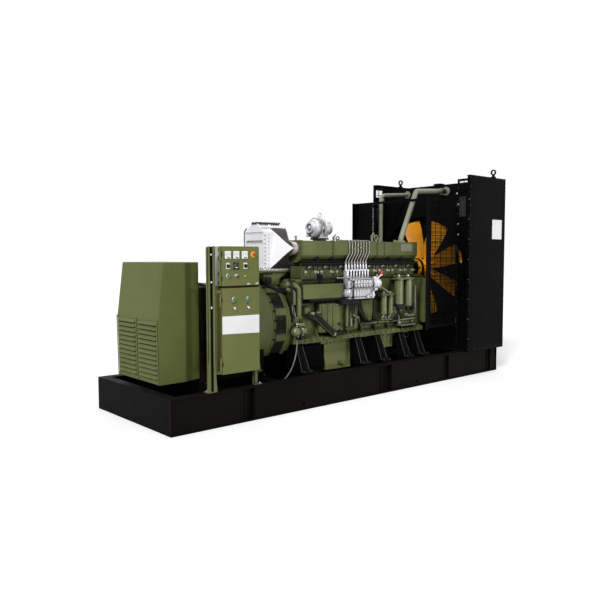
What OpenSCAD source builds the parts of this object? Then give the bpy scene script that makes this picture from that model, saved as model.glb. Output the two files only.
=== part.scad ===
// Open skid-mounted diesel generator set: V engine, alternator, control cabinets and cooling radiator
// on one welded base frame. Millimetres, +X towards the radiator, -Y the cabinet side, +Z up.
// Origin: middle of the base frame's footprint, on the floor.

/* [Base frame] */
// Length of the base frame
base_len = 5000; // [4200:50:6000]
// Width of the base frame over its rail flanges
base_w = 1451; // [1400:1:1650]
// Height of the base frame
base_h = 325; // [290:5:360]
// Thickness of the rail flanges
rail_flange_t = 14; // [8:1:20]
// Thickness of the rail webs
rail_web_t = 12; // [6:1:18]
// How far the flanges stand proud of the web
rail_lip = 12; // [6:1:20]
// Width of each rail flange
rail_flange_w = 100; // [80:5:140]
// Depth of the recessed pockets in the rails
pocket_depth = 45; // [20:5:60]
// Radius of the anchor bolt holes
anchor_r = 11; // [8:0.5:14]
// Distance of the anchor holes from the base's ends
anchor_inset = 180; // [140:10:300]
// Width of the cross beams
beam_w = 110; // [80:5:140]

/* [Alternator] */
// Height of the engine and alternator shaft above the floor
shaft_z = 840; // [820:5:900]
// Radius of the alternator's green shell
shell_r = 440; // [420:5:450]
// Radius of the alternator's black stator
stator_r = 405; // [380:5:415]
// Length of the louvred end cover
cover_len = 460; // [400:10:480]
// Width of the louvred end cover
cover_w = 800; // [700:10:860]
// Height of the louvred end cover
cover_h = 1100; // [1000:5:1150]
// How far the cover's front leans back above its crease
cover_lean = 64; // [20:1:90]
// Height of the crease above the cover's lower edge
cover_crease = 594; // [500:1:650]
// Clear height between the base and the cover
cover_lift = 65; // [30:5:90]
// Number of louvres in each column of the cover
louvres = 12; // [8:1:14]

/* [Adapter and flywheel housing] */
// Radius of the flywheel housing's flange
flange_r = 441.5; // [430:0.5:450]
// Length of the windowed adapter ring
adapter_len = 172; // [150:1:190]
// Number of windows round the adapter ring
windows = 10; // [8:2:12]
// Depth of the windows
window_depth = 36; // [20:1:50]
// Length of the flywheel housing
housing_len = 110; // [90:1:130]

/* [Engine] */
// Length of the crankcase
crankcase_len = 2120; // [2100:10:2300]
// Half width of the crankcase wall
crankcase_half = 350; // [330:5:360]
// Height of the head deck above the floor
deck_z = 1300; // [1280:5:1330]
// Cylinders in each bank
bank_count = 8; // [6:1:8]
// Distance between cylinders
bore_pitch = 231; // [225:1:236]
// Height of a cylinder head
head_h = 140; // [120:5:150]
// Depth of the sump's bottom above the floor
sump_z = 265; // [240:5:320]
// Length of the intake manifolds
manifold_len = 1900; // [1850:10:1930]
// Height of the intake manifolds' top above the floor
manifold_top = 1709; // [1700:1:1720]
// Depth of an intake manifold, front to back
manifold_d = 200; // [180:5:210]
// Number of injection lines on each side
line_count = 8; // [4:1:8]
// Radius of an injection line
line_r = 8; // [4:0.5:10]

/* [Charge air cooler] */
// Length of the cooler
cooler_len = 315; // [280:5:330]
// Width of the cooler
cooler_w = 320; // [300:5:340]
// Height of the cooler
cooler_h = 490; // [440:5:520]
// Radius of the hoods' round collars
collar_r = 68; // [60:1:72]

/* [Turbocharger] */
// Radius of the compressor housing
compressor_r = 120; // [105:1:125]
// Radius of the exhaust outlet's bore
exhaust_r = 55; // [45:1:60]

/* [Cooling fan] */
// Height of the fan's shaft above the floor
fan_z = 1390; // [1370:5:1420]
// Tip radius of the fan
fan_r = 655; // [600:5:670]
// Number of fan blades
blades = 8; // [6:1:9]
// Pitch of the fan blades
blade_pitch = 25; // [15:1:26]
// Radius of the fan's shaft
shaft_r = 30; // [25:1:36]
// Radial running clearance of the fan's hub on its shaft
shaft_gap = 0.05; // [0.03:0.01:0.1]

/* [Radiator] */
// Height of the radiator's side panels above the base frame
panel_h = 2218; // [2100:1:2280]
// Width of the radiator over its side panels
radiator_w = 1630; // [1600:5:1700]
// Length of the side panels
panel_len = 796; // [760:1:796]
// Thickness of the panel sheet
sheet_t = 4; // [3:0.5:6]
// Thickness of the radiator core
core_d = 260; // [200:10:280]
// Half width of the fan guard
guard_half = 625; // [600:5:640]
// Length of the fan guard
guard_len = 558; // [540:2:590]
// Height of the fan guard's top above the floor
guard_top = 2250; // [2230:5:2290]
// Radius of the lifting eyes' holes
eye_r = 22; // [18:1:26]
// Radius of the coolant pipe on the cabinet side
pipe_near_r = 32; // [26:1:36]
// Radius of the coolant pipe on the far side
pipe_far_r = 26; // [22:1:32]

/* [Control cabinets] */
// Width of both cabinets
cabinet_w = 425; // [400:5:430]
// Depth of the cabinets behind their doors
cabinet_d = 196; // [170:2:200]
// Height of the upper cabinet
control_h = 360; // [340:5:380]
// Height of the lower cabinet
power_h = 790; // [760:5:800]
// Height of the lower cabinet above the base frame
cabinet_lift = 143; // [110:1:170]
// Thickness of the cabinet sheet
cabinet_t = 4; // [3:0.5:5]
// Thickness of a cabinet door
door_t = 20; // [16:1:22]
// Gap between a door and its cabinet
door_gap = 5; // [2:0.5:6]
// Radius of the hinge pins
pin_r = 5; // [4:0.5:6]

/* [Hidden] */

$fn = 48;
seat_gap = 0.3;

// Base frame
half_len = base_len / 2;
half_w = base_w / 2;
web_y = half_w - rail_lip - rail_web_t;
flange_y = half_w - rail_flange_w;
// Rail pockets: middle and width along X
pockets = [[-1650, 100], [265, 170], [1400, 60], [2320, 60]];
beam_x = [-1910, -1286, -785, 445, 1150, 1900];
// Feet that stand on short brackets between the cross beams
bracket_x = [105, 865];
bracket_h = 110;
// Drain holes near the rails' lower edge
drain_x = [-973, 821];
drain_z = 55;
drain_r = 20;

// Alternator
cover_x = -2430;
cover_z = base_h + cover_lift;
cover_bend = 170;
cover_taper = 50;
cover_tuck = 9;
stator_x = cover_x + cover_len;
shell_x = -1750;
shell_end = -1126;
adapter_x = shell_end + 14;
housing_x = adapter_x + adapter_len;
case_x = housing_x + housing_len;
window_arc = 27;
louvre_pitch = (cover_crease - 60) / louvres;

// Engine
case_z = 620;
foot_half = crankcase_half + 70;
flank_half = crankcase_half + 40;
deck_half = crankcase_half + 80;
valley_half = 110;
valley_z = deck_z - 60;
head_inner = 230;
first_bore = case_x + 200;
exhaust_x = case_x + 140;
gear_x = case_x + crankcase_len;
gear_len = 60;
gear_half = deck_half - 5;
gear_z = 706;
sump_half = 300;
pan_half = crankcase_half - 20;
manifold_x = -750;
manifold_front = deck_half - 5;
manifold_base = 1483;
manifold_chamfer_z = 74;
manifold_chamfer_y = 60;
branch_w = 130;
turbo_z = 1870;
turbo_x = -246;
turbo_foot = 1750;
pump_x = -150;
pump_len = 400;
pump_z = 1066;
pump_inner = deck_half + 2;
pump_step_z = 1290;
pump_top = 1392;
holder_h = 76;
line_y = 462;
line_pitch = 46;
line_shift = 85;
tray_x = -228;
tray_len = 250;
tray_t = 58;
starter_y = foot_half + 62;
starter_z = 758;
ball_r = 53;
cable_r = 6;
cable_x = case_x - 32;
cable_top = 690;
cable_seat = beam_x[1] + beam_w / 2 + 2 * seat_gap;
// Bends of the starter's cable, from its terminal to a cross beam
cable_bends = [[cable_x, -starter_y, cable_top], [cable_x, -starter_y, 410], [-1080, -570, 270], [cable_seat, -570, 270]];

// Charge air cooler
cooler_x = -1040;
cooler_z = 1395;
cooler_chamfer_y = 120;
cooler_chamfer_z = 90;
hood_h = 435;
hood_len = 238;
hood_z = cooler_z + 13;
bracket_z = shaft_z + shell_r - 55;

// Cooling fan and its drive
fan_x = 1800;
hub_r = 110;
hub_len = 80;
blade_root = 150;
blade_tip = 300;
blade_t = 6;
pulley_x = 1640;
pulley_w = 50;
fan_pulley_r = 110;
crank_pulley_r = 140;
belt_t = 14;
belt_gap = 0.5;

// Radiator
frame_t = 8;
panel_x = 1704;
panel_z = base_h + frame_t;
panel_top = base_h + panel_h + frame_t;
half_rad = radiator_w / 2;
strip_x = panel_x + sheet_t;
core_x = 1880;
core_z = 560;
core_half = half_rad - 45;
core_top = 2160;
tank_len = 320;
tank_half = half_rad - 25;
tank_top = 2483;
shroud_t = 4;
ring_r = fan_r + 25;
guard_x = strip_x - guard_len;
guard_z = 660;
guard_bar = 6;
guard_rim = 30;
eye_x = 2262;
eye_y = half_rad - 35;
eye_z = panel_top + 73;
slot_z = 2385;
slot_h = 100;

// Coolant pipes
near_y = -325;
far_y = 325;

// Control cabinets
cabinet_x = -1945;
door_y = -700;
box_y = door_y + door_t + door_gap;
power_z = base_h + cabinet_lift;
spacer_h = 17;
control_z = power_z + power_h + spacer_h;
hinge_x = cabinet_x - 10;
hinge_y = door_y + door_t / 2;
knuckle_r = pin_r + 4;
knuckle_h = 40;
post_x = -2107;
post_w = 77;
post_d = 30;
arm_y = -665;
post_y = door_y - 20;
post_top = control_z + control_h;

olive = [0.37, 0.40, 0.22];
cover_green = [0.42, 0.47, 0.27];
black = [0.04, 0.04, 0.04];
silver = [0.78, 0.78, 0.80];
orange = [0.88, 0.58, 0.12];

// ---- shared shapes ----

// A copy on each side of the centre plane
module both_sides() {
    children();
    mirror([0, 1, 0]) children();
}

// A box from its lowest corner to its highest corner
module block(low, high) {
    translate(low) cube(high - low);
}

// A cylinder along X
module rod_x(r, from_x, to_x, y = 0, z = 0) {
    translate([from_x, y, z]) rotate([0, 90, 0]) cylinder(r = r, h = to_x - from_x);
}

// A YZ outline run along X
module run_x(from_x, to_x) {
    translate([from_x, 0, 0]) rotate([90, 0, 90]) linear_extrude(to_x - from_x) children();
}

// An XZ outline run along Y
module run_y(from_y, to_y) {
    translate([0, to_y, 0]) rotate([90, 0, 0]) linear_extrude(to_y - from_y) children();
}

function unit(v) = v / norm(v);

// Points of a route whose corners are rounded to a radius
function fillet(a, p, b, r, steps) =
    let (d1 = unit(a - p), d2 = unit(b - p), open = acos(d1 * d2),
        reach = r / tan(open / 2), c = p + unit(d1 + d2) * r / sin(open / 2),
        u = (p + d1 * reach - c) / r, v = (p + d2 * reach - c) / r, sweep = 180 - open)
    [for (k = [0:steps]) c + r * (u * sin(sweep * (1 - k / steps)) + v * sin(sweep * k / steps)) / sin(sweep)];

function route(p, r, steps = 6) =
    concat([p[0]], [for (i = [1:len(p) - 2]) each fillet(p[i - 1], p[i], p[i + 1], r, steps)], [p[len(p) - 1]]);

// A tube along a route that never runs along side, which fixes how its rings are turned
module tube(p, side, r, n = 24) {
    last = len(p) - 1;
    points = [for (i = [0:last])
        let (t = unit((i > 0 ? unit(p[i] - p[i - 1]) : [0, 0, 0]) + (i < last ? unit(p[i + 1] - p[i]) : [0, 0, 0])),
            v = unit(cross(t, side)), u = cross(v, t))
        for (k = [0:n - 1]) p[i] + r * (u * cos(360 * k / n) + v * sin(360 * k / n))];
    faces = concat([[for (k = [0:n - 1]) k]],
        [for (i = [0:last - 1], k = [0:n - 1])
            let (j = (k + 1) % n) [i * n + k, (i + 1) * n + k, (i + 1) * n + j, i * n + j]],
        [[for (k = [n - 1:-1:0]) last * n + k]]);
    polyhedron(points, faces);
}

// ---- base frame ----

module rail() {
    difference() {
        union() {
            block([-half_len, -half_w, 0], [half_len, -flange_y, rail_flange_t]);
            block([-half_len, -half_w, base_h - rail_flange_t], [half_len, -flange_y, base_h]);
            block([-half_len, rail_lip - half_w, 0], [half_len, -web_y, base_h]);
            for (s = [-1, 1]) translate([s * (half_len - rail_web_t / 2), 0, 0])
                block([-rail_web_t / 2, -half_w, 0], [rail_web_t / 2, -web_y, base_h]);
            for (p = pockets)
                block([p[0] - p[1] / 2 - rail_web_t, -half_w, 0],
                    [p[0] + p[1] / 2 + rail_web_t, rail_lip - half_w + pocket_depth + rail_web_t, base_h]);
        }
        for (p = pockets)
            block([p[0] - p[1] / 2, -half_w - 1, rail_flange_t],
                [p[0] + p[1] / 2, rail_lip - half_w + pocket_depth, base_h - rail_flange_t]);
        for (x = drain_x) translate([x, -half_w, drain_z]) rotate([-90, 0, 0])
            cylinder(r = drain_r, h = rail_lip + rail_web_t + 1);
        for (s = [-1, 1]) translate([s * (half_len - anchor_inset), -half_w + rail_flange_w - 30, -1])
            cylinder(r = anchor_r, h = rail_flange_t + 2);
    }
}

module base_side_rails() {
    color(black) both_sides() rail();
}

module end_rail() {
    block([-half_len, -web_y, rail_flange_t], [rail_web_t - half_len, web_y, base_h - rail_flange_t]);
    for (z = [0, base_h - rail_flange_t])
        block([-half_len, -flange_y, z], [rail_flange_w - half_len, flange_y, z + rail_flange_t]);
}

module base_end_rails() {
    color(black) {
        end_rail();
        mirror([1, 0, 0]) end_rail();
    }
}

module base_cross_beams() {
    color(black) {
        for (x = beam_x) {
            block([x - beam_w / 2, -web_y, rail_flange_t], [x + beam_w / 2, web_y, base_h - rail_flange_t]);
            block([x - beam_w / 2, -flange_y, base_h - rail_flange_t], [x + beam_w / 2, flange_y, base_h]);
        }
        both_sides() for (x = bracket_x) {
            block([x - beam_w / 2, -web_y, base_h - bracket_h], [x + beam_w / 2, -foot_half, base_h - rail_flange_t]);
            block([x - beam_w / 2, -flange_y, base_h - rail_flange_t], [x + beam_w / 2, -foot_half, base_h]);
        }
    }
}

// Tapered pedestals from the rails up to the engine's foot rail, and saddles under the alternator
engine_feet_x = [-785, 105, 445, 865, 1150];
foot_top_w = 80;
foot_base_w = 110;
foot_spread = 115;
module engine_foot(x) {
    intersection() {
        run_x(x - foot_base_w, x + foot_base_w) polygon([[-foot_half - foot_spread, base_h], [-foot_half - 5, base_h],
            [-crankcase_half, case_z - 60], [-crankcase_half, case_z], [-foot_half, case_z]]);
        run_y(-foot_half - 271, 0) polygon([[x - foot_base_w / 2, base_h], [x + foot_base_w / 2, base_h],
            [x + foot_top_w / 2, case_z], [x - foot_top_w / 2, case_z]]);
    }
}

module alternator_foot(from_x, to_x, r) {
    difference() {
        block([from_x, -370, base_h], [to_x, -180, shaft_z - 240]);
        rod_x(r + seat_gap, from_x - 1, to_x + 1, 0, shaft_z);
    }
}

module support_feet() {
    color(black) both_sides() {
        for (x = engine_feet_x) engine_foot(x);
        alternator_foot(stator_x + 40, stator_x + 140, stator_r);
        alternator_foot(shell_end - 230, shell_end - 90, shell_r);
    }
}

// ---- alternator ----

module alternator_cover() {
    half = cover_w / 2;
    top = cover_z + cover_h;
    crease = cover_z + cover_crease;
    end = cover_x + cover_len;
    color(cover_green) difference() {
        intersection() {
            run_y(-half, half) polygon([[cover_x + cover_tuck, cover_z], [end, cover_z], [end, top],
                [cover_x + cover_lean, top], [cover_x, crease]]);
            translate([0, 0, cover_z - 1]) linear_extrude(cover_h + 2) polygon([[cover_x - 1, -half],
                [end - cover_bend, -half], [end + 1, cover_taper - half],
                [end + 1, half - cover_taper], [end - cover_bend, half], [cover_x - 1, half]]);
        }
        for (s = [-1, 1], k = [0:louvres - 1])
            block([cover_x - 1, s * half / 2 - half * 0.43, cover_z + 35 + k * louvre_pitch],
                [cover_x + 16, s * half / 2 + half * 0.43, cover_z + 35 + (k + 0.35) * louvre_pitch]);
    }
}

module alternator_stator() {
    color(black) rod_x(stator_r, stator_x, shell_x, 0, shaft_z);
}

module alternator_shell() {
    color(olive) {
        rod_x(shell_r, shell_x, shell_end, 0, shaft_z, $fn = 96);
        rod_x(shell_r + 5, shell_end, adapter_x, 0, shaft_z, $fn = 96);
    }
}

module adapter_ring() {
    color(olive) difference() {
        rod_x(shell_r - 2, adapter_x, housing_x, 0, shaft_z, $fn = 96);
        for (k = [0:windows - 1]) translate([0, 0, shaft_z]) rotate([360 * (k + 0.5) / windows, 0, 0])
            block([adapter_x + 16, -shell_r * sin(window_arc / 2), shell_r - window_depth],
                [housing_x - 22, shell_r * sin(window_arc / 2), shell_r + 20]);
    }
}

module flywheel_housing() {
    color(olive) {
        rod_x(flange_r, housing_x, housing_x + 26, 0, shaft_z, $fn = 96);
        rod_x(flange_r - 22, housing_x + 26, case_x - 26, 0, shaft_z, $fn = 96);
        run_x(case_x - 26, case_x) polygon([[-foot_half, case_z], [foot_half, case_z], [foot_half, 1180],
            [300, deck_z - 40], [-300, deck_z - 40], [-foot_half, 1180]]);
    }
}

// ---- engine ----

// The crankcase's outline across the engine, grown outwards for cutting what seats on it
module crankcase_outline() {
    polygon([[-foot_half, case_z], [-foot_half, case_z + 40], [-crankcase_half, case_z + 80],
        [-crankcase_half, deck_z - 240], [-flank_half, deck_z - 100], [-deck_half, deck_z - 10],
        [-deck_half, deck_z], [-head_inner, deck_z], [-valley_half, valley_z],
        [valley_half, valley_z], [head_inner, deck_z], [deck_half, deck_z],
        [deck_half, deck_z - 10], [flank_half, deck_z - 100], [crankcase_half, deck_z - 240],
        [crankcase_half, case_z + 80], [foot_half, case_z + 40], [foot_half, case_z]]);
}

module crankcase() {
    color(olive) run_x(case_x, gear_x) crankcase_outline();
}

// A piece that seats on the crankcase's side
module on_flank() {
    difference() {
        children();
        run_x(case_x, gear_x) crankcase_outline();
    }
}

module oil_pan() {
    color(olive) {
        block([case_x + 110, -pan_half, case_z - 24], [gear_x - 40, pan_half, case_z]);
        run_y(-sump_half, sump_half) polygon([[-360, case_z - 24], [-262, sump_z], [109, sump_z], [109, case_z - 24]]);
        run_y(-sump_half, sump_half) polygon([[589, case_z - 24], [640, case_z - 190], [850, case_z - 190], [860, case_z - 24]]);
    }
}

module gear_case() {
    color(olive) run_x(gear_x, gear_x + gear_len) polygon([[-gear_half, gear_z], [gear_half, gear_z],
        [gear_half, deck_z - 70], [gear_half - 60, deck_z - 10], [60 - gear_half, deck_z - 10], [-gear_half, deck_z - 70]]);
}

function bore_x(i) = first_bore + i * bore_pitch;

module cylinder_heads() {
    color(olive) both_sides() for (i = [0:bank_count - 1])
        block([bore_x(i) - bore_pitch / 2 + 6, -deck_half + 10, deck_z],
            [bore_x(i) + bore_pitch / 2 - 6, -head_inner, deck_z + head_h]);
}

module intake_manifold() {
    back = manifold_front - manifold_d;
    run_x(manifold_x, manifold_x + manifold_len) polygon([[-manifold_front, manifold_base + manifold_chamfer_z],
        [-manifold_front, manifold_top], [-back, manifold_top], [-back, manifold_base],
        [manifold_chamfer_y - manifold_front, manifold_base]]);
    for (i = [0:bank_count - 1])
        block([bore_x(i) - branch_w / 2, manifold_chamfer_y - manifold_front, deck_z + head_h],
            [bore_x(i) + branch_w / 2, -back - 10, manifold_base]);
}

module intake_manifold_near() {
    color(olive) intake_manifold();
}

module intake_manifold_far() {
    color(olive) mirror([0, 1, 0]) intake_manifold();
}

module exhaust_manifold() {
    first = exhaust_x;
    length = bank_count * bore_pitch - 30;
    color("dimgray") {
        rod_x(95, first, first + length, 0, valley_z + 170);
        block([first, -70, valley_z], [first + length, 70, valley_z + 170]);
        block([turbo_x + 96, -60, valley_z + 170], [turbo_x + 196, 60, turbo_foot - 16]);
        block([turbo_x + 76, -85, turbo_foot - 16], [turbo_x + 216, 85, turbo_foot]);
    }
}

module turbocharger() {
    color(silver) difference() {
        union() {
            rod_x(62, turbo_x - 20, turbo_x, 0, turbo_z);
            rod_x(compressor_r, turbo_x, turbo_x + 90, 0, turbo_z);
            rod_x(70, turbo_x + 90, turbo_x + 170, 0, turbo_z);
            rod_x(compressor_r - 8, turbo_x + 170, turbo_x + 250, 0, turbo_z);
            rod_x(exhaust_r + 22, turbo_x + 250, turbo_x + 290, 0, turbo_z);
            block([turbo_x + 91, -50, turbo_foot], [turbo_x + 200, 50, turbo_z]);
        }
        rod_x(44, turbo_x - 21, turbo_x + 30, 0, turbo_z);
        rod_x(exhaust_r, turbo_x + 230, turbo_x + 291, 0, turbo_z);
    }
}

// ---- charge air cooler ----

module cooler_outline() {
    half = cooler_w / 2;
    top = cooler_z + cooler_h;
    polygon([[-half, cooler_z], [half, cooler_z], [half, top - cooler_chamfer_z], [half - cooler_chamfer_y, top],
        [cooler_chamfer_y - half, top], [-half, top - cooler_chamfer_z]]);
}

module charge_air_cooler() {
    color("white") run_x(cooler_x, cooler_x + cooler_len) cooler_outline();
}

module cooler_bracket() {
    color(olive) difference() {
        union() {
            block([cooler_x - 60, -200, cooler_z - 26], [cooler_x + cooler_len, 200, cooler_z]);
            run_y(-190, 190) polygon([[cooler_x - 40, cooler_z - 26], [cooler_x + 20, bracket_z],
                [case_x - 30, bracket_z], [case_x - 30, deck_z + 5], [cooler_x + cooler_len - 30, cooler_z - 26]]);
        }
        rod_x(shell_r + seat_gap, cooler_x - 100, housing_x, 0, shaft_z, $fn = 96);
        rod_x(flange_r + seat_gap, housing_x, case_x, 0, shaft_z, $fn = 96);
    }
}

// A square-to-round transition from the cooler's side to a manifold's end
module cooler_hood() {
    right = cooler_x + cooler_len - 20;
    collar_z = 1605;
    mouth = manifold_front - manifold_d / 2;
    half = cooler_w / 2;
    bend = cooler_z + cooler_h - cooler_chamfer_z;
    lap = hood_z + hood_h - bend;
    difference() {
        hull() {
            block([right - hood_len, -half - 3, hood_z], [right, -half, bend]);
            block([right - hood_len, lap * cooler_chamfer_y / cooler_chamfer_z - half - 3, bend + lap - 2],
                [right, lap * cooler_chamfer_y / cooler_chamfer_z - half, bend + lap]);
            rod_x(collar_r, manifold_x - 34, manifold_x - 31, -mouth, collar_z, $fn = 32);
        }
        run_x(cooler_x - 1, cooler_x + cooler_len + 1) cooler_outline();
    }
    rod_x(collar_r, manifold_x - 31, manifold_x, -mouth, collar_z);
}

module cooler_hoods() {
    color("gray") both_sides() cooler_hood();
}

// ---- fuel system and side pieces ----

function line_x(i) = pump_x + 20 + line_shift + i * line_pitch;

module injection_pump() {
    on_flank() {
        block([pump_x, -545, pump_z], [pump_x + pump_len, -pump_inner, pump_step_z]);
        block([pump_x + 20, -pump_inner, pump_z], [pump_x + pump_len - 20, -crankcase_half, pump_z + 110]);
    }
    block([pump_x, -505, pump_step_z], [pump_x + 355, -pump_inner, pump_top]);
    rod_x(58, pump_x + pump_len, pump_x + pump_len + 135, -492, pump_z + 165);
    for (i = [0:line_count - 1]) translate([line_x(i) - line_shift, -line_y, pump_top]) cylinder(r = 14, h = holder_h);
}

module injection_pumps() {
    color(silver) both_sides() injection_pump();
}

// Each line leans from the pump to the manifold's face, follows its face and top, and drops into the V
module injection_line(x) {
    outer = manifold_front + line_r + 3;
    over = manifold_top + line_r + 3;
    inner = -manifold_front + manifold_d + line_r + 6;
    low = x - line_shift;
    tube(route([[low, -line_y, pump_top + holder_h], [low, -line_y, pump_top + holder_h + 22],
        [x, -outer, manifold_base + manifold_chamfer_z + 20], [x, -outer, over], [x, inner, over],
        [x, inner, deck_z + 60], [x, -head_inner, deck_z + 60]], 14, 2), [1, 0, 0], line_r, 6);
}

module injection_lines() {
    color(silver) both_sides() for (i = [0:line_count - 1]) injection_line(line_x(i));
}

module pump_trays() {
    color(black) both_sides() on_flank()
        block([tray_x, -545, pump_z - tray_t], [tray_x + tray_len, -crankcase_half, pump_z]);
}

module side_covers() {
    color(olive) both_sides() on_flank()
        block([-765, -475, 1092], [pump_x - 20, -crankcase_half, 1245]);
}

// Tall and short twin filters on their heads
module filter_canisters() {
    color(olive) {
        on_flank() block([660, -560, 1262], [980, -crankcase_half, 1290]);
        for (x = [735, 900]) translate([x, -495, 934]) cylinder(r = 56, h = 328);
        on_flank() block([460, -485, 1070], [690, -crankcase_half, 1110]);
        for (x = [527, 643]) translate([x, -440, 850]) cylinder(r = 40, h = 220);
    }
}

module starter_motor() {
    color(olive) {
        translate([case_x - 50, -starter_y, starter_z]) rotate([0, 90, 0]) rotate_extrude() polygon(concat(
            [for (a = [0:9:144]) ball_r * [sin(a), -cos(a)]], [[30, 70], [30, 120], [0, 120]]));
        on_flank() block([case_x + 20, -starter_y, starter_z - 40], [case_x + 110, -crankcase_half, starter_z + 40]);
        block([cable_x - 10, -starter_y - 10, cable_top], [cable_x + 10, 10 - starter_y, cable_top + 35]);
    }
}

// A cable of one smooth bend that hangs from the starter's terminal to the cross beam
module starter_cable() {
    b = cable_bends;
    color("silver") tube([for (k = [0:24]) let (t = k / 24, u = 1 - t)
        u * u * u * b[0] + 3 * u * u * t * b[1] + 3 * u * t * t * b[2] + t * t * t * b[3]], [0, 1, 0], cable_r, 10);
}

// ---- cooling fan and drive ----

module fan_drive() {
    face = gear_x + gear_len;
    color(black) {
        block([face, -150, 1000], [face + 30, 150, deck_z - 20]);
        block([face, -150, deck_z - 20], [face + 30, 150, fan_z + 110]);
        rod_x(85, face + 30, pulley_x - 20, 0, fan_z);
        rod_x(shaft_r, pulley_x - 20, fan_x, 0, fan_z);
        rod_x(45, face, pulley_x, 0, shaft_z);
        rod_x(crank_pulley_r, pulley_x, pulley_x + pulley_w, 0, shaft_z);
    }
}

module fan_blade() {
    translate([0, 0, hub_r - 12]) rotate([0, 0, 90 - blade_pitch])
        translate([0, blade_t / 2, 0]) rotate([90, 0, 0]) linear_extrude(blade_t)
            polygon([[-blade_root / 2, 0], [blade_root / 2, 0], [blade_tip / 2, fan_r - hub_r + 12],
                [-blade_tip / 2, fan_r - hub_r + 12]]);
}

module cooling_fan() {
    color(orange) difference() {
        union() {
            rod_x(hub_r, fan_x - hub_len / 2, fan_x + hub_len / 2, 0, fan_z);
            rod_x(65, pulley_x, fan_x, 0, fan_z);
            rod_x(fan_pulley_r, pulley_x, pulley_x + pulley_w, 0, fan_z);
            intersection() {
                rod_x(fan_r, pulley_x, core_x, 0, fan_z, $fn = 96);
                for (k = [0:blades - 1]) translate([fan_x, 0, fan_z]) rotate([25 + 360 * k / blades, 0, 0]) fan_blade();
            }
        }
        rod_x(shaft_r + shaft_gap, pulley_x - 1, fan_x + 0.5, 0, fan_z);
    }
}

module belt_outline(grow) {
    hull() {
        translate([0, fan_z]) circle(r = fan_pulley_r + grow);
        translate([0, shaft_z]) circle(r = crank_pulley_r + grow);
    }
}

module fan_belts() {
    color(black) run_x(pulley_x + 3, pulley_x + pulley_w - 3) difference() {
        belt_outline(belt_gap + belt_t);
        belt_outline(belt_gap);
    }
}

// A framed lattice in the XZ plane
module guard_panel(x0, x1, z0, z1, y, cell_x, cell_z) {
    nx = round((x1 - x0) / cell_x);
    nz = round((z1 - z0) / cell_z);
    difference() {
        block([x0, y, z0], [x1, y + guard_bar, z1]);
        for (i = [0:nx - 1], k = [0:nz - 1]) block(
            [x0 + (x1 - x0) * i / nx + (i == 0 ? guard_rim : guard_bar / 2), y - 1, z0 + (z1 - z0) * k / nz + (k == 0 ? guard_rim : guard_bar / 2)],
            [x0 + (x1 - x0) * (i + 1) / nx - (i == nx - 1 ? guard_rim : guard_bar / 2), y + guard_bar + 1,
                z0 + (z1 - z0) * (k + 1) / nz - (k == nz - 1 ? guard_rim : guard_bar / 2)]);
    }
}

module fan_guard_near() {
    color(black) guard_panel(guard_x, strip_x, guard_z, guard_top, -guard_half, 118, 107);
}

module fan_guard_far() {
    color(black) guard_panel(guard_x, strip_x, guard_z, guard_top, guard_half - guard_bar, 118, 107);
}

module fan_guard_bar() {
    inner = guard_half - guard_bar;
    color(black) block([guard_x, -inner, guard_top - guard_rim], [guard_x + 5, inner, guard_top]);
}

module fan_guard_louvres() {
    inner = guard_half - guard_bar;
    color(black) {
        block([guard_x, deck_half + 10, 900], [guard_x + 4, inner, guard_top - guard_rim]);
        block([guard_x, 315, manifold_top + 10], [guard_x + 4, deck_half + 10, guard_top - guard_rim]);
        for (k = [0:13]) block([guard_x - 8, k < 9 ? deck_half + 30 : 335, 950 + k * 90],
            [guard_x, inner - 20, 962 + k * 90]);
    }
}

module fan_shroud() {
    inner = half_rad - sheet_t;
    color(black) difference() {
        union() {
            block([core_x - shroud_t, -inner, core_z], [core_x, inner, core_top]);
            rod_x(ring_r + shroud_t, core_x - 120, core_x, 0, fan_z, $fn = 96);
        }
        rod_x(ring_r, core_x - 121, core_x + 1, 0, fan_z, $fn = 96);
    }
}

// ---- radiator ----

module radiator_base() {
    color(black) block([panel_x, -half_rad, base_h], [panel_x + panel_len, half_rad, base_h + frame_t]);
}

module radiator_front_strips() {
    color(black) both_sides() translate([strip_x, 0, 0]) rotate([0, 0, 90])
        guard_panel(sheet_t - half_rad, guard_bar - guard_half, panel_z, panel_top - 40, -guard_bar, 96, 109);
}

module radiator_core() {
    color(black) block([core_x, -core_half, core_z], [core_x + core_d, core_half, core_top]);
}

module radiator_top_tank() {
    color(black) {
        block([core_x, -tank_half, core_top], [core_x + tank_len, tank_half, tank_top]);
        translate([core_x + 270, 0, tank_top]) cylinder(r = 60, h = 51);
    }
}

module radiator_bottom_tank() {
    color(black) block([core_x, -tank_half, panel_z], [core_x + tank_len, tank_half, core_z]);
}

// A side panel with folded edges; the far one has a slot near its top
module side_panel() {
    block([panel_x, -half_rad, panel_z], [panel_x + panel_len, sheet_t - half_rad, panel_top]);
    block([panel_x, sheet_t - half_rad, panel_z], [panel_x + sheet_t, 45 - half_rad, panel_top]);
    block([panel_x + sheet_t, sheet_t - half_rad, panel_top - sheet_t], [panel_x + panel_len, 70 - half_rad, panel_top]);
}

module radiator_side_near() {
    color(black) side_panel();
}

module radiator_side_far() {
    color(black) difference() {
        mirror([0, 1, 0]) side_panel();
        block([panel_x + 46, half_rad - sheet_t - 1, slot_z], [panel_x + panel_len - 110, half_rad + 1, slot_z + slot_h]);
    }
}

module radiator_rear_guard() {
    rear = panel_x + panel_len;
    y = half_rad - sheet_t;
    color(black) translate([rear - guard_bar, 0, 0]) rotate([0, 0, 90])
        guard_panel(-y, y, panel_z, panel_top - 100, -guard_bar, 123, 130);
}

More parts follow.
